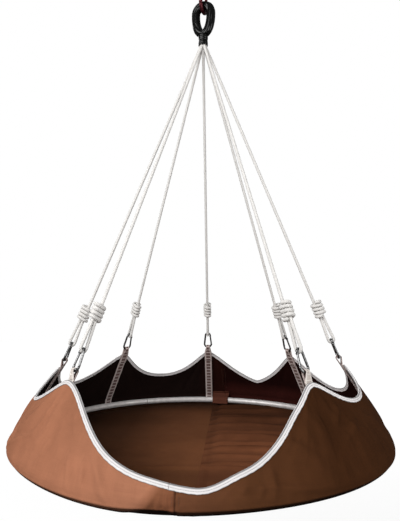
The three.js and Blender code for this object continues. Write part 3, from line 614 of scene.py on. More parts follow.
# Creases: each a ridge (or, below zero, a furrow) between two places on the wall, given as azimuth
# and height, with its own height and width. They fade towards their ends.
MAIN_CREASES = [
    (226, 92, 243, 30, 4.5, 5), (231, 84, 246, 38, -2.5, 6),
    (214, 150, 209, 98, 2.2, 7), (209, 78, 206.5, 26, 4, 6), (204.5, 66, 203, 30, 2.6, 5),
    (202.5, 84, 196, 18, 5.5, 7), (199, 60, 193, 12, -2, 6),
    (219, 160, 224, 60, 2, 12), (236, 120, 239, 40, 2, 11), (250, 110, 255, 36, -2.5, 10),
    (188, 14, 185, 40, 2.0, 3.2), (185.6, 8, 184.4, 40, 1.8, 2.2), (183.6, 6, 183.2, 40, 1.6, 1.8),
    (141.5, 160, 138.4, 106, -4.5, 8), (128, 138, 138, 106, -4.5, 8), (138.4, 108, 141, 70, -3.2, 7),
    (133.5, 152, 137, 118, 4.5, 7), (126, 146, 108, 70, 1.2, 9),
    (145, 150, 143, 80, 3, 9), (128, 120, 136, 90, 3.5, 9), (108, 70, 97, 26, 0.6, 8),
    (118, 142, 100, 60, -2.5, 8), (155, 110, 151, 84, 3.5, 8), (160.5, 70, 161, 26, 3.5, 6),
    (165, 44, 146, 27, 3, 5), (164, 30, 163, 44, 2.5, 4), (168, 34, 166.5, 46, 2, 4),
    (150, 90, 146, 34, 2, 10), (172, 30, 170, 44, 1.6, 4), (176, 28, 177, 42, 1.4, 4),
]


def small_creases():
    draw = np.random.default_rng(7)
    found = []
    for azimuth, lift in zip(STARTS, LIFTS):
        for i in range(9):
            spread = (i - 4) * 4.2 + draw.uniform(-1.5, 1.5)
            foot = draw.uniform(40, 90)
            height = draw.uniform(0.5, 1.5) * (1 if i % 2 else -1)
            found.append((
                azimuth + 0.35 * spread, PEAK_RISE + lift - draw.uniform(14, 34),
                azimuth + spread, foot, height, draw.uniform(3.5, 6.5),
            ))
    for azimuth in np.arange(0, 360, 4.3):
        place = azimuth + draw.uniform(-1.2, 1.2)
        found.append((
            place, 26, place + draw.uniform(-2.5, 2.5), draw.uniform(50, 95),
            draw.uniform(-0.9, 0.9), draw.uniform(3, 6),
        ))
    return found


CREASES = MAIN_CREASES + small_creases()
CREASE_SHARE = 1.6  # all of them stand out by this share of their heights


# A place on the wall as if it lay flat
def unrolled(azimuth, rise):
    return np.radians(azimuth) * UV_RADIUS, rise / math.cos(LEAN)


def creased(azimuth, rise):
    x, y = unrolled(azimuth, rise)
    total = np.zeros(np.broadcast(x, y).shape)
    for a0, r0, a1, r1, height, width in CREASES:
        for turn in (-360, 0, 360):
            start, end = np.array(unrolled(a0 + turn, r0)), np.array(unrolled(a1 + turn, r1))
            if start[0] < x.min() - 60 or start[0] > x.max() + 60:
                continue
            run = end - start
            share = np.clip(((x - start[0]) * run[0] + (y - start[1]) * run[1]) / run.dot(run), 0, 1)
            away = np.hypot(x - start[0] - share * run[0], y - start[1] - share * run[1])
            swell = height * ridge(away, width)
            total += CREASE_SHARE * swell * np.sin(math.pi * (0.1 + 0.8 * share))
    return total


FURROW_LIMIT = 1.5  # no crease goes deeper


# How far the cloth stands out from the solid's own face at a place on the wall
def wall_relief(azimuth, rise, seams):
    below_edge = edge_rise(azimuth) - rise
    tuck = 7 * between(azimuth, 181, 184, 187, 194) * (1 - smoothstep(rise, 2, 30))
    fade = smoothstep(below_edge, 3, 18) * smoothstep(rise, 3, 30)
    relief = creased(azimuth, rise) * fade
    furrow = -FURROW_LIMIT * (1 - np.exp(relief / FURROW_LIMIT))
    relief = np.where(relief < 0, furrow, relief) - tuck
    for seam in seams:
        away = np.abs(np.radians(azimuth - seam)) * UV_RADIUS
        relief -= 1.3 * ridge(away, 2.2)
        pucker = np.sin(rise * 0.5 + 3 * np.sin(azimuth * 0.9)) * np.exp(-away / 26)
        relief += 0.55 * pucker * smoothstep(below_edge, 2, 12)
    return relief


# The sewn edge under the foot: a narrow roll with a furrow below it
def welt(angle):
    return bell(angle, -18, 7) - 2.0 * bell(angle, -34, 5)


# Rows of the wall from the floor up: the surface and the place on it, the height, how far the cloth
# stands out and its length so far
def wall_rows(azimuths, seams):
    for angle in np.linspace(-90, math.degrees(LEAN), 34):
        rise = np.full(azimuths.shape, FOOT_RADIUS * (1 + math.sin(math.radians(angle))))
        relief = wall_relief(azimuths, rise, seams) + welt(angle)
        relief *= smoothstep(angle, -90, -78)  # level where it is sewn to the floor
        yield on_foot, angle, rise, relief, np.full(azimuths.shape, FOOT_RADIUS * math.radians(angle))
    tall = edge_rise(azimuths) - CONE_RISE
    tape_rise = np.minimum(1.2 * TAPE_LEG * math.cos(LEAN), 0.6 * tall)
    for share in np.linspace(0, 1, 40)[1:]:
        rise = CONE_RISE + share * tall
        relief = wall_relief(azimuths, rise, seams)
        relief += fold_swell(azimuths, share * tall / (tall - tape_rise))
        yield on_cone, rise, rise, relief, share * tall / math.cos(LEAN) + FOOT_RADIUS * LEAN


def wall_half(name, start, end, looks):
    seam, step = math.degrees(SEAM_GAP / PEAK_RADIUS), 0.05
    azimuths = np.linspace(start + seam + step, end - seam - step, int((end - start) * 3.4))
    azimuths = np.concatenate([[start + seam], azimuths, [end - seam]])
    outer, inner, places = [], [], []
    for surface, at, rise, relief, length in wall_rows(azimuths, (start, end)):
        drop = (sag(azimuths) * (1 - smoothstep(rise, 10, 44)))[:, None] * UP
        outer.append(surface(azimuths, at, -relief) - drop)
        inner.append(surface(azimuths, at, CLOTH - relief) - drop)
        places.append(np.stack([np.radians(azimuths) * UV_RADIUS, length], -1))
    rings = np.stack(outer + inner[::-1], axis=1)
    points, faces, uvs = swept(rings, np.stack(places + places[::-1], axis=1))
    size = rings.shape[1]
    inside = [size // 2 <= i % size < size - 1 for i in range(len(faces) - 2)] + [False, False]
    return mesh_piece(
        name, points, faces, uvs, looks, slot="canvas", replaces=[name], face_looks=inside
    )


# Floor: two half discs that meet along the slanted seam

# Wrinkles of the right half, each as its place on the seam, its slope, how far it runs from the seam,
# its height and its width
WRINKLES = [
    (392, 0.10, 330, 6, 9), (330, 0.06, 300, 7, 10), (262, 0.09, 200, 4, 9), (205, 0.06, 310, 9, 13),
    (150, 0.05, 230, 5, 10), (60, 0.04, 260, 6, 11), (8, 0.03, 240, 10, 12), (-52, 0.03, 300, 6, 9),
    (-96, 0.02, 250, 7, 9), (-150, 0.0, 210, 4, 8), (-205, 0.03, 200, 3.5, 7), (-330, 0.0, 150, 2, 8),
]


def rim_relief(radius, azimuth, x, y):
    dip = 6 * bell(radius, 462, 15) * smoothstep(y, -60, 120)
    ripple = np.sin(46 * azimuth + 2.5 * np.sin(9 * azimuth)) * (0.8 + 1.6 * smoothstep(x, 20, 80))
    ripple *= between(radius, 390, 460, 466, FOOT_CENTRE)
    return ripple - dip * (1 - smoothstep(radius, 464, FOOT_CENTRE - 2))


def right_wrinkles(x, y):
    relief = 0
    for place, slope, reach, height, width in WRINKLES:
        line = y - place - slope * x - 4 * np.sin(x / 41 + place) - 1.5 * np.sin(x / 13 + place)
        relief += 1.5 * height * ridge(line, width) * between(x, 22, 60, reach - 90, reach + 60)
    return relief


def left_wrinkles(x, y):
    draw = np.random.default_rng(11)
    relief = 0
    for i in range(5):
        place, slope = -180 + 110 * i + draw.uniform(-20, 20), draw.uniform(-0.1, 0.1)
        line = y - place - slope * x - 6 * np.sin(x / 60 + i)
        relief += 0.8 * ridge(line, 16) * between(x, -300, -200, -90, -5)
    return relief


def floor_relief(x, y, right):
    radius, azimuth = np.hypot(x, y), np.arctan2(x, y)
    relief = rim_relief(radius, azimuth, x, y) - 5 * (1 - (radius / FOOT_CENTRE) ** 2)
    relief += right_wrinkles(x, y) if right else left_wrinkles(x, y)
    line = y + 252 - 0.05 * (x + 100) - 3 * np.sin(x / 38)
    relief += 6 * ridge(line, 6) * between(x, -170, -120, 100, 150)
    relief = relief * (1 - smoothstep(radius, FOOT_CENTRE - 12, FOOT_CENTRE - 1))
    front = np.mod(np.degrees(azimuth), 360)
    return relief - sag(front) * smoothstep(radius, 300, FOOT_CENTRE)


def floor_half(name, start, end, look):
    seam = math.degrees(SEAM_GAP / PEAK_RADIUS)
    count, first = 260, 0.0008
    azimuths = np.linspace(start + seam, end - seam, count)
    rim = polar(azimuths, FOOT_CENTRE - GAP, 0)
    share = 0.5 - 0.499 * np.cos(math.pi * np.linspace(0, 1, count))
    middle = rim[0] + share[:, None] * (rim[-1] - rim[0])
    steps = np.append(0, np.linspace(first, 1, 90))
    right = start < 90
    top = middle[:, None] + steps[None, :, None] * (rim - middle)[:, None]
    from_seam = np.abs(top[..., 0] - middle[:, None, 0])
    relief = floor_relief(top[..., 0], top[..., 1], right) - 0.2 * ridge(from_seam, 3)
    if right:
        relief += between(from_seam, 0, 6, 14, 19)
    top[..., 2] += relief
    rings = np.concatenate([top + CLOTH * UP, top[:, ::-1]], axis=1)
    points, faces, uvs = swept(rings, rings[..., :2])
    return mesh_piece(name, points, faces, uvs, look, slot="canvas", replaces=[name])


# Stitches: short beads of thread along a line on a surface
def stitches(name, line, outward, look, length=3.2, pitch=4.6, thickness=0.8):
    line, outward = np.asarray(line, float), np.asarray(outward, float)
    run = arc_lengths(line)
    def at_run(values, at):
        return np.array([np.interp(at, run, values[:, k]) for k in range(3)])
    shares = np.array([0, 0.18, 0.5, 0.82, 1])
    lifts = thickness * np.array([-0.2, 0.12, 0.3, 0.12, -0.2])
    radii = thickness / 2 * np.array([0.35, 0.9, 1, 0.9, 0.35])
    parts = []
    for at in np.arange(pitch / 2, run[-1] - pitch / 2, pitch):
        start, end = at_run(line, at - length / 2), at_run(line, at + length / 2)
        spine = start + shares[:, None] * (end - start) + lifts[:, None] * unit(at_run(outward, at))
        parts.append(bar(spine, radii, 6))
    mesh_piece(name, *joined(parts), look)


# Binding tape

def below_edge(azimuth, below, depth):
    step = 0.05
    along = 2 * math.radians(step) * (PEAK_RADIUS + (PEAK_RISE - edge_rise(azimuth)) * math.tan(LEAN))
    up = (edge_rise(azimuth + step) - edge_rise(azimuth - step)) / math.cos(LEAN)
    upright = below / np.cos(np.arctan2(up, along))
    return on_cone(azimuth, edge_rise(azimuth) - upright * math.cos(LEAN), depth)


def tape_section():
    outer, inner = -TAPE_GAP, CLOTH + TAPE_GAP
    def leg(length, face, sign):
        found = []
        for share in np.linspace(1, 0, 13):
            puff = 0.45 * abs(math.sin(2 * math.pi * share)) ** 0.6
            found.append((face + sign * (TAPE * 0.7 + puff), share * length))
        return found
    outside = leg(TAPE_LEG, outer, -1)
    inside = leg(TAPE_INNER_LEG, inner, 1)[::-1]
    middle = (outer + inner) / 2
    reach = (inner - outer) / 2 + 0.7 * TAPE
    over = [
        (middle - reach * math.cos(a), -(TAPE_GAP + TAPE) * math.sin(a))
        for a in np.linspace(0, math.pi, 9)[1:-1]
    ]
    back = [(inner, TAPE_INNER_LEG), (inner, 0), (outer, 0), (outer, TAPE_LEG)]
    return outside + over + inside + back


def binding(name, start, end):
    gap = math.degrees(GAP / 2 / PEAK_RADIUS)
    azimuths = np.linspace(start + gap, end - gap, int((end - start) * 2.6))
    ripple = 0.25 * np.sin(azimuths * 3.1) + 0.2 * np.sin(azimuths * 7.7 + 1)
    section = tape_section()[::-1]
    rings = [below_edge(azimuths, below + ripple * (below > 5), depth) for depth, below in section]
    across = [below if depth < CLOTH / 2 else -below for depth, below in section]
    places = np.stack(np.meshgrid(across, np.radians(azimuths) * PEAK_RADIUS), -1)
    body = swept(np.stack(rings, axis=1), places)
    mesh_piece(name, *body, "tape", slot="tape", replaces=[name])
    for side, sign, depth, below in (
        ("outside", 1, -TAPE_GAP - 0.9 * TAPE, TAPE_LEG / 2),
        ("inside", -1, CLOTH + TAPE_GAP + 0.9 * TAPE, TAPE_INNER_LEG / 2),
    ):
        outward = sign * unit(on_cone(azimuths, 0, 0) - on_cone(azimuths, 0, 10))
        line = below_edge(azimuths, below, depth)
        stitches(f"{name}_stitches_{side}", line, outward, "thread_tape")


# Ring frame

def ring_points(start, end, count):
    return polar(np.linspace(start, end, count), RING_RADIUS, TUBE_RISE)


def tube_body(points, radius, bore):
    frames = path_frames(points, UP)[1:]
    outside, inside = (sections(points, *frames, r, 28) for r in (radius, bore))
    return swept(np.concatenate([outside, inside[::-1]]), loop=True)


def add_ring():
    gap, ferrule = (math.degrees(length / 2 / RING_RADIUS) for length in (GAP, FERRULE))
    bore = TUBE_RADIUS - TUBE_WALL
    for i in range(4):
        start = TUBE_START + 90 * i
        tube = tube_body(ring_points(start + gap, start + 90 - gap, 120), TUBE_RADIUS, bore)
        inside = bar(ring_points(start - ferrule, start + ferrule, 16), bore - 2 * GAP, 20)
        for name, body, look in (("ring_tube", tube, "tube"), ("ring_ferrule", inside, "zinc")):
            piece = f"{name}_{i + 1}"
            mesh_piece(f"{piece}_skin", *body, look, slot=look, replaces=[piece])


# The tab's middle line, as the distance inwards from the tube's middle and the height above it: sewn
# to the wall, over the tube and down to the floor
def tab_line():
    half = TAB / 2
    clear = TUBE_RADIUS + GAP + half
    def on_wall(rise):
        at = on_cone(0.0, rise, CLOTH + TAPE_GAP + half)
        return np.array([RING_RADIUS - at[1], at[2] - TUBE_RISE])
    level = CLOTH + GAP + half - TUBE_RISE
    foot, leave = np.array([TAB_REACH, level]), on_wall(TAB_RISE - TAB_SEAM)
    def touch(at, side):
        return math.atan2(at[1], at[0]) + side * math.acos(clear / math.hypot(*at))
    low, high = touch(foot, 1), touch(leave, -1)
    line = [np.array([TAB_REACH + TAB_SEAM, level]), foot]
    line += [clear * np.array([math.cos(a), math.sin(a)]) for a in np.linspace(low, high, 9)]
    return line + [leave, on_wall(TAB_RISE)]


def tab_body(middle, half, flat, run, normal):
    share = run / run[-1]
    rings, places = [], []
    for across in np.linspace(-1, 1, 34):
        edge = abs(across) ** 10
        swell = 0.4 * np.sin(8 * across + 9 * share) * np.sin(math.pi * share) * (1 - edge)
        sides = [
            flat + (swell + sign * TAB / 2 * (1 - 0.35 * edge))[:, None] * normal for sign in (1, -1)
        ]
        inwards, rise = np.vstack([sides[0], sides[1][::-1]]).T
        rings.append(polar(middle + across * half, RING_RADIUS - inwards, TUBE_RISE + rise))
        around = np.full(len(rise), across * TAB_WIDTH / 2)
        places.append(np.stack([around, np.concatenate([run, run[::-1]])], -1))
    return swept(rings, np.array(places))


def add_tab():
    middle = SEAM_BACK - math.degrees(TAB_WIDTH / 4 / RING_RADIUS)
    half = math.degrees(TAB_WIDTH / RING_RADIUS) / 2
    flat = smooth_path([(x, 0, z) for x, z in tab_line()], 1.5)[:, ::2]
    run = arc_lengths(flat)
    steps = unit(np.gradient(flat, axis=0))
    normal = np.stack([steps[:, 1], -steps[:, 0]], axis=-1)
    body = tab_body(middle, half, flat, run, normal)
    mesh_piece("ring_tab_cloth", *body, "tab", slot="canvas", replaces=["ring_tab"])
    keep = np.abs(run / run[-1] - 0.5) < 0.47
    line = flat[keep] + 1.05 * normal[keep] * TAB / 2
    for side, sign in (("left", -1), ("right", 1)):
        azimuth = middle + sign * half * 0.9
        path = polar(azimuth, RING_RADIUS - line[:, 0], TUBE_RISE + line[:, 1])
        outward = polar(azimuth, -normal[keep][:, 0], normal[keep][:, 1])
        stitches(f"ring_tab_stitches_{side}", path, outward, "thread_brown", 2.6, 3.8, 0.6)


# Sets of strap, snap hook, knot and rope

def neck_place(index):
    if index == 0:
        return np.array([0.0, 0.0, MOUTH])
    return polar((index - 0.5) * 60, ROPE + GAP, MOUTH)


# Frame of a set: X along the wall, Y up the rope and Z inwards, from where the strap's loop opens
class SetFrame:
    def __init__(self, index):
        self.origin = on_cone(STARTS[index], PEAK_RISE + LIFTS[index] + WEB_NECK, WEB_DEPTH)
        top = neck_place(index)
        along = unit(top - self.origin)
        across = unit(np.cross(UP, along))
        along = unit(top - STRAND * np.cross(across, along) - self.origin)
        self.basis = np.stack([across, along, unit(np.cross(across, along))])

    def place(self, local):
        return np.asarray(local, float) @ self.basis + self.origin


KNOT_TOP = KNOT_LIFT + KNOT_PITCH * KNOT_TURNS
HOOK_BOW_TOP = HOOK_LIFT + HOOK_LENGTH - HOOK_WIRE
TURN_RADIUS = (HOOK_WIRE / 2 + GAP + ROPE / 2) / math.cos(math.pi / 14)


# The rope's centre line: from the neck down to the snap hook, round its wire and back up the knot
def rope_line(index):
    placed = SetFrame(index)
    top = neck_place(index)
    foot = placed.place((0, KNOT_TOP, STRAND))
    down = unit(foot - top)
    bend = math.acos(-down[2])
    sideways = unit(np.array([down[0], down[1], 0]))
    points = [top + (0, 0, NECK_LENGTH), top]
    for angle in bend * np.linspace(0, 1, 6)[1:]:
        aside = ROPE_BEND * (1 - math.cos(angle))
        points.append(top + aside * sideways - ROPE_BEND * math.sin(angle) * UP)
    bent = points[-1]
    points += [bent + share * (foot - bent) for share in np.linspace(0, 1, 9)[1:]]
    local = [(0, KNOT_LIFT - ROPE, STRAND)]
    for angle in np.linspace(0, math.pi, 15):
        rise, inwards = TURN_RADIUS * math.sin(angle), TURN_RADIUS * math.cos(angle)
        local.append((0, HOOK_BOW_TOP - rise, inwards))
    local += [(0, KNOT_LIFT - ROPE, -STRAND), (0, KNOT_TOP, -STRAND)]
    return np.array(points + list(placed.place(local)))


def knot_line():
    radius = ROPE + GAP + 0.3
    turn = []
    for sign in (1, -1):
        for angle in np.linspace(0, math.pi, 15):
            turn.append((sign * radius * math.cos(angle), sign * (STRAND + radius * math.sin(angle))))
    flat = np.array([turn[-1]] + turn * KNOT_TURNS + [turn[0]])
    run = arc_lengths(flat)
    share = np.clip((run - run[1]) / (run[-2] - run[1]), 0, 1)
    height = KNOT_LIFT + share * KNOT_PITCH * KNOT_TURNS
    return np.stack([flat[:, 0], height, flat[:, 1]], axis=-1)


def cord_piece(name, line, radii):
    return mesh_piece(f"{name}_cord", *bar(line, radii, 14), "rope", slot="rope", replaces=[name])


def add_rope(index):
    name = STRAPS[index][0]
    line = smooth_path(rope_line(index), 5)
    rope = cord_piece(f"rope_{name}", line, ROPE / 2)
    winding = SetFrame(index).place(smooth_path(knot_line(), 2.5))
    swell = 4.55 + 0.2 * np.sin(arc_lengths(winding) / 9)
    ends = (3.2, 3.9, 4.3)
    swell[:3] = ends
    swell[-3:] = ends[::-1]
    knot = cord_piece(f"knot_{name}", winding, swell)
    path = MM * (line + (0, 0, FLOOR_Z))
    tuple(path[0])
    round(float(arc_lengths(path)[-1]), 3)
    [tuple(p) for p in path]


def loop_rise():
    bow = HOOK_WIDTH / 2 - HOOK_WIRE
    return bow - math.sqrt(bow**2 - (WEB_LOOP / 2) ** 2)


# Half of the webbing's section, as shares of its half width and its half thickness
WEB_FACE = [
    (-1, -0.3), (-0.96, -0.85), (-0.6, -1), (-0.3, -1), (0, -1), (0.3, -1), (0.6, -1), (0.96, -0.85),
    (1, -0.3),
]
WEB_SECTION = WEB_FACE + [(-u, -n) for u, n in WEB_FACE]


# The strap's middle line and its widths: up the wall, round the snap hook's bow and down to its tail
def strap_stations(index):
    azimuth, peak = STARTS[index], PEAK_RISE + LIFTS[index]
    placed = SetFrame(index)
    turn_radius = HOOK_WIRE / 2 + GAP + WEB / 2 + loop_rise()
    doubled = WEB + GAP
    def wall_at(rise, inside):
        depth = WEB_DEPTH + inside
        return on_cone(azimuth, rise + depth * math.sin(LEAN), depth)
    stations = [(on_foot(azimuth, a, WEB_DEPTH), WEB_WIDTH) for a in (WEB_FOOT, WEB_FOOT / 2, 0)]
    stations += [(wall_at(r, 0), WEB_WIDTH) for r in (CONE_RISE, 60, peak / 2, 140, peak)]
    stations.append((placed.place((0, 0, 0)), WEB_WIDTH - 1))
    for angle in math.pi * np.linspace(1, 0, 13):
        at = (0, HOOK_LIFT + turn_radius * math.sin(angle), turn_radius * math.cos(angle))
        stations.append((placed.place(at), WEB_LOOP))
    stations.append((placed.place((0, 0, doubled)), WEB_WIDTH - 1))
    return stations + [(wall_at(r, doubled), WEB_WIDTH) for r in (peak, peak - WEB_TAIL)]


def add_strap(index):
    name, azimuth = STRAPS[index][:2]
    spots, station_widths = zip(*strap_stations(index))
    line = smooth_path(spots, 2.5)
    run, station_run = arc_lengths(line), arc_lengths(np.array(spots))
    widths = np.interp(run * station_run[-1] / run[-1], station_run, station_widths)
    across = polar(azimuth + 90, 1, 0)
    tangents = path_frames(line, across)[0]
    normals = unit(np.cross(np.broadcast_to(across, tangents.shape), tangents))
    rings, places = [], []
    for at, width, normal, length in zip(line, widths, normals, run):
        bunch = (WEB_WIDTH - width) / (WEB_WIDTH - WEB_LOOP)
        rings.append([
            at + u * width / 2 * across + (n * WEB / 2 - 0.9 * bunch * (u * u - 0.4)) * normal
            for u, n in WEB_SECTION
        ])
        places.append([(u * WEB_WIDTH / 2, length) for u, _ in WEB_SECTION])
    points, faces, uvs = swept(rings, np.array(places))
    # The outward faces up to the loop's top take the paler copy of the webbing: painted light.
    size, turned = len(WEB_SECTION), np.argmax(line[:, 2])
    pale = [i // size < turned and i % size < 8 for i in range(len(faces))]
    mesh_piece(
        f"strap_{name}_webbing", points, faces, uvs, ["webbing", "webbing_painted_light"], slot="webbing",
        replaces=[f"strap_{name}"], face_looks=pale,
    )


# A loop of wire around two circles with a gate in its right side, as the solids have it
def gated_loop(length, width, wire, top_radius, gate_share):
    radius = wire / 2
    low = (width - wire) / 2
    span = length - wire - top_radius - low
    tilt = math.asin((low - top_radius) / span)
    run = span * math.cos(tilt)
    def side(t):
        return np.array([
            low * math.cos(tilt) - t * math.sin(tilt), low * math.sin(tilt) + t * math.cos(tilt), 0
        ])
    knuckle, nose = run - radius - 2 * GAP, radius / 2
    def arc(centre, r, start, end, steps):
        return [
            np.array([r * math.cos(a), centre + r * math.sin(a), 0])
            for a in np.linspace(start, end, steps)
        ]
    path = [side(knuckle + radius + GAP)]
    path += arc(span, top_radius, tilt, math.pi - tilt, 20)[1:]
    path += arc(0, low, math.pi - tilt, 2 * math.pi + tilt, 28)
    path.append(side(nose - GAP))
    rim = 0.25 * gate_share * radius * np.linspace(0, 1, 4)
    spots = [*(nose + rim), *np.linspace(nose + 2, knuckle - 2, 8), *(knuckle - rim[::-1])]
    return {
        "path": smooth_path(path, radius * 0.8), "rod": np.array([side(t) for t in spots]),
        "hinge": side(knuckle), "low": low, "radius": radius, "gate": gate_share * radius,
    }


def rounded_bar(line, radius, sides):
    run = arc_lengths(line)
    edge = np.minimum(run, run[-1] - run)
    radii = radius * (1 - 0.12 * (1 - np.clip(edge / (0.25 * radius), 0, 1)) ** 2)
    return bar(line, radii, sides)


# A short pin across the loop's plane, with rounded rims
def pin(centre, radius, length):
    heights = length / 2 * np.array([-1, -0.93, -0.8, 0.8, 0.93, 1])
    radii = radius * np.array([0.82, 0.96, 1, 1, 0.96, 0.82])
    spine = np.array([centre + (0, 0, h) for h in heights])
    return bar(spine, radii, 24)


def add_loop(loop, place, names, look, slot, body, sides):
    thick = 2 * loop["radius"] + GAP
    gate = [
        rounded_bar(loop["rod"], loop["gate"], sides), pin(loop["hinge"], loop["radius"], thick),
        pin(loop["hinge"], loop["radius"] * 0.45, thick + 0.8),
    ]
    wire = [rounded_bar(loop["path"], loop["radius"], sides)]
    for name, parts, rides in zip(names, (wire, gate), (body, names[1])):
        points, faces, uvs = joined(parts)
        mesh_piece(
            f"{name}_metal", place(points), faces, uvs, look, body=rides, slot=slot, replaces=[name]
        )


def add_hook(index):
    name = STRAPS[index][0]
    loop = gated_loop(HOOK_LENGTH, HOOK_WIDTH, HOOK_WIRE, HOOK_WIRE / 2 + ROPE / 2 + 1, HOOK_GATE)
    def place(points):
        return SetFrame(index).place(points + (0, HOOK_LIFT + loop["low"], 0))
    add_loop(loop, place, (f"hook_{name}", f"hook_gate_{name}"), "zinc", "zinc", "nest", 16)


# Neck and eye

EYE_FOOT = MOUTH + NECK_LENGTH + GAP
BUNDLE = 1.5 * ROPE + EYE_COVER


def add_neck():
    bore = (ROPE + GAP + ROPE / 2 + GAP) / math.cos(math.pi / 20)
    outside = bore + NECK_WALL
    heights = np.linspace(0, NECK_LENGTH, 60)
    share = heights / NECK_LENGTH
    rings = 0.55 * np.abs(np.sin(math.pi * 6 * share)) ** 0.7
    waist = 0.9 * ridge(share - 0.5, 0.09)
    ends = 1.1 * (np.exp(-share / 0.03) + np.exp(-(1 - share) / 0.03))
    radii = outside - 0.55 + rings - waist - ends
    profile = list(zip(radii, heights)) + [(bore, NECK_LENGTH), (bore, 0)]
    angles = 2 * math.pi * np.arange(48) / 48
    body = [[(r * math.cos(a), r * math.sin(a), h + MOUTH) for a in angles] for r, h in profile]
    mesh_piece(
        "neck_cover", *swept(body, loop=True), "cover", slot="black_cover", replaces=["neck_sleeve"]
    )


# The eye's middle line: up one limb, over the bend and down the other
def eye_line():
    half = EYE_WIDTH / 2
    shoulder = EYE_HEIGHT - BUNDLE - half
    control = np.array([
        (0, 0), (0.67 * half, 0.15 * shoulder), (half, 0.42 * shoulder), (half, shoulder)
    ])
    t = np.linspace(0, 1, 26)[:, None]
    limb = (
        (1 - t) ** 3 * control[0] + 3 * (1 - t) ** 2 * t * control[1]
        + 3 * (1 - t) * t**2 * control[2] + t**3 * control[3]
    )
    angles = np.linspace(0, math.pi, 34)[1:-1]
    bend = [(half * math.cos(a), shoulder + half * math.sin(a)) for a in angles]
    flat = np.vstack([limb, bend, limb[::-1] * (-1, 1)])
    return np.stack([flat[:, 0], np.zeros(len(flat)), flat[:, 1]], axis=-1)


def add_eye():
    line = eye_line()
    count, sides, lobes = len(line), 60, 6
    angles = 2 * math.pi * np.arange(sides) / sides
    run = arc_lengths(line) / arc_lengths(line)[-1]
    twist = 0.9 * np.sin(2 * math.pi * run) + 0.25
    lobe = np.abs(np.cos(lobes / 2 * (angles + twist[:, None])))
    end = np.minimum(np.arange(count), np.arange(count)[::-1])
    radii = BUNDLE * (0.895 + 0.105 * lobe**0.8) * (1 - 0.06 * np.exp(-end / 3))[:, None]
    rings = sections(line, *path_frames(line, np.array([0.0, 1.0, 0.0]))[1:], radii, sides)
    rings[..., 2] = np.maximum(rings[..., 2], 0)
    points, faces, uvs = swept(rings)
    matrix = np.array(Matrix.Rotation(math.radians(-CARABINER_TURN), 3, "Z"))
    heights = np.array([0, 0.6, 2, 5, 8, 10.5, 12])
    radii = BUNDLE * np.array([0.93, 0.99, 1.0, 0.98, 1.0, 0.98, 0.9])
    points, faces, uvs = joined([(points, faces, uvs), bar(heights[:, None] * UP, radii, 48)])
    points = points @ matrix.T + (0, 0, EYE_FOOT)
    mesh_piece("eye_cover", points, faces, uvs, "cover", slot="black_cover", replaces=["eye"])


def add_carabiner():
    loop = gated_loop(
        CARABINER_LENGTH, CARABINER_WIDTH, CARABINER_BAR, (CARABINER_WIDTH - CARABINER_BAR) / 2,
        CARABINER_GATE,
    )
    along = polar(CARABINER_TURN, 1, 0)
    basis = np.stack([along, -UP, np.cross(along, -UP)])
    def place(points):
        return points @ basis + (0, 0, CARABINER_BAR / 2 - loop["low"] - FLOOR_Z)
    add_loop(loop, place, ("carabiner", "carabiner_gate"), "red", "red_metal", "carabiner", 24)


# Stitching beside the walls' seams

def add_seams():
    angles = np.linspace(-60, math.degrees(LEAN), 16)
    for label, seam in (("back", SEAM_BACK), ("front", SEAM_FRONT)):
        top = edge_rise(np.array([float(seam)]))[0] - TAPE_LEG
        rises = np.linspace(CONE_RISE, top - 2, 30) if top > CONE_RISE + 8 else []
        for tag, side in (("a", -1), ("b", 1)):
            azimuth = seam + side * math.degrees(5.5 / UV_RADIUS)
            line = [on_foot(azimuth, angle, 0.1) for angle in angles]
            outward = [polar(azimuth, math.cos(a), math.sin(a)) for a in np.radians(angles)]
            for rise in rises:
                relief = wall_relief(np.array([azimuth]), np.array([rise]), (SEAM_BACK, SEAM_FRONT))[0]
                line.append(on_cone(azimuth, rise, 0.1 - relief))
                outward.append(outward[-1])
            stitches(f"seam_stitches_{label}_{tag}", line, outward, "thread_brown", 3, 4.2, 0.8)


# Making

add_camera()
for i in range(len(STRAPS)):
    add_rope(i)
walls = [
    wall_half("wall_right", SEAM_BACK, SEAM_FRONT, ["outer_right", "inner_right"]),
    wall_half("wall_left", SEAM_FRONT, SEAM_BACK + 360, ["outer_left", "inner_left"]),
]
floors = [
    floor_half("floor_right", FLOOR_SEAM_BACK, FLOOR_SEAM_FRONT, "floor_right"),
    floor_half("floor_left", FLOOR_SEAM_FRONT, FLOOR_SEAM_BACK + 360, "floor_left"),
]
binding("binding_right", TAPE_JOINS[0], TAPE_JOINS[1])
binding("binding_left", TAPE_JOINS[1], TAPE_JOINS[0] + 360)
add_seams()
add_ring()
add_tab()
for i in range(len(STRAPS)):
    add_strap(i)
    add_hook(i)
add_neck()
add_eye()
add_carabiner()


# Floor, light and background

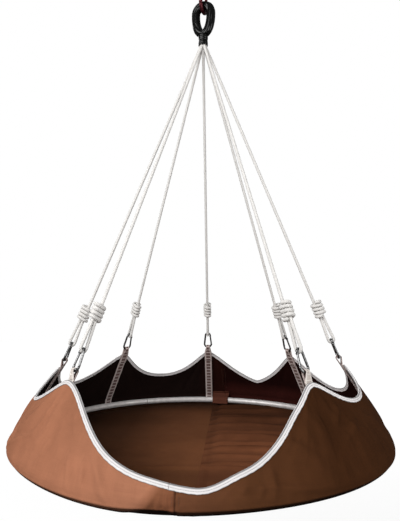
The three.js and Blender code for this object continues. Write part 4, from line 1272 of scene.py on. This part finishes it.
def add_stage():
    size, z, count = 14, MM * FLOOR_Z - 0.95, 12
    mesh = bpy.data.meshes.new("studio_floor")
    side = [size * (2 * i / count - 1) for i in range(count + 1)]
    grid = [(x, y, z) for y in side for x in side]
    corner = [j * (count + 1) + i for j in range(count) for i in range(count)]
    mesh.from_pydata(grid, [], [(c, c + 1, c + count + 2, c + count + 1) for c in corner])
    floor = linked("studio_floor", mesh)
    made = bpy.data.materials.new("studio_floor")
    made.use_nodes = True
    tree = made.node_tree
    tree.nodes.clear()
    rays = add(tree, "ShaderNodeLightPath")
    place = add(tree, "ShaderNodeNewGeometry").outputs["Position"]
    away = add(tree, "ShaderNodeVectorMath", {0: place}, operation="LENGTH").outputs["Value"]
    pale = ramp(tree, maths(tree, "DIVIDE", away, size), [(0.1, 0.74), (0.4, 1.0)])
    diffuse = add(tree, "ShaderNodeBsdfDiffuse", {"Color": (0.3, 0.3, 0.3, 1)})
    glow = add(tree, "ShaderNodeEmission", {"Color": pale, "Strength": rays.outputs["Is Camera Ray"]})
    both = add(tree, "ShaderNodeAddShader", {0: diffuse.outputs[0], 1: glow.outputs[0]})
    add(tree, "ShaderNodeOutputMaterial", {0: both.outputs[0]})
    mesh.materials.append(made)


def add_world():
    world = bpy.data.worlds.new("studio")
    bpy.context.scene.world = world
    world.use_nodes = True
    tree = world.node_tree
    rays = add(tree, "ShaderNodeLightPath")
    strength = maths(tree, "MAXIMUM", rays.outputs["Is Camera Ray"], 0.15)
    back = tree.nodes["Background"]
    back.inputs["Color"].default_value = (1, 1, 1, 1)
    tree.links.new(strength, back.inputs["Strength"])


def add_lamp(name, azimuth, elevation, distance, size, level):
    data = bpy.data.lights.new(name, "AREA")
    data.shape = "DISK"
    data.size = size
    data.energy = level * math.pi**2 * distance**2
    lamp = linked(name, data)
    target = Vector((0, 0, MM * (FLOOR_Z + 120)))
    rise = math.radians(elevation)
    direction = Vector(polar(azimuth, math.cos(rise), math.sin(rise)))
    lamp.location = target + distance * direction
    lamp.rotation_euler = direction.to_track_quat("Z", "Y").to_euler()


add_stage()
add_world()
add_lamp("key", 230, 26, 3.2, 1.8, 0.74)
add_lamp("front", 197, 34, 3.0, 1.6, 0.34)
add_lamp("low", 165, -4, 3.2, 1.4, 0.18)
add_lamp("side", 122, 14, 3.0, 1.6, 0.42)
add_lamp("back", 330, 50, 3.2, 1.4, 0.12)

scene = bpy.context.scene
scene.view_settings.view_transform = "Standard"
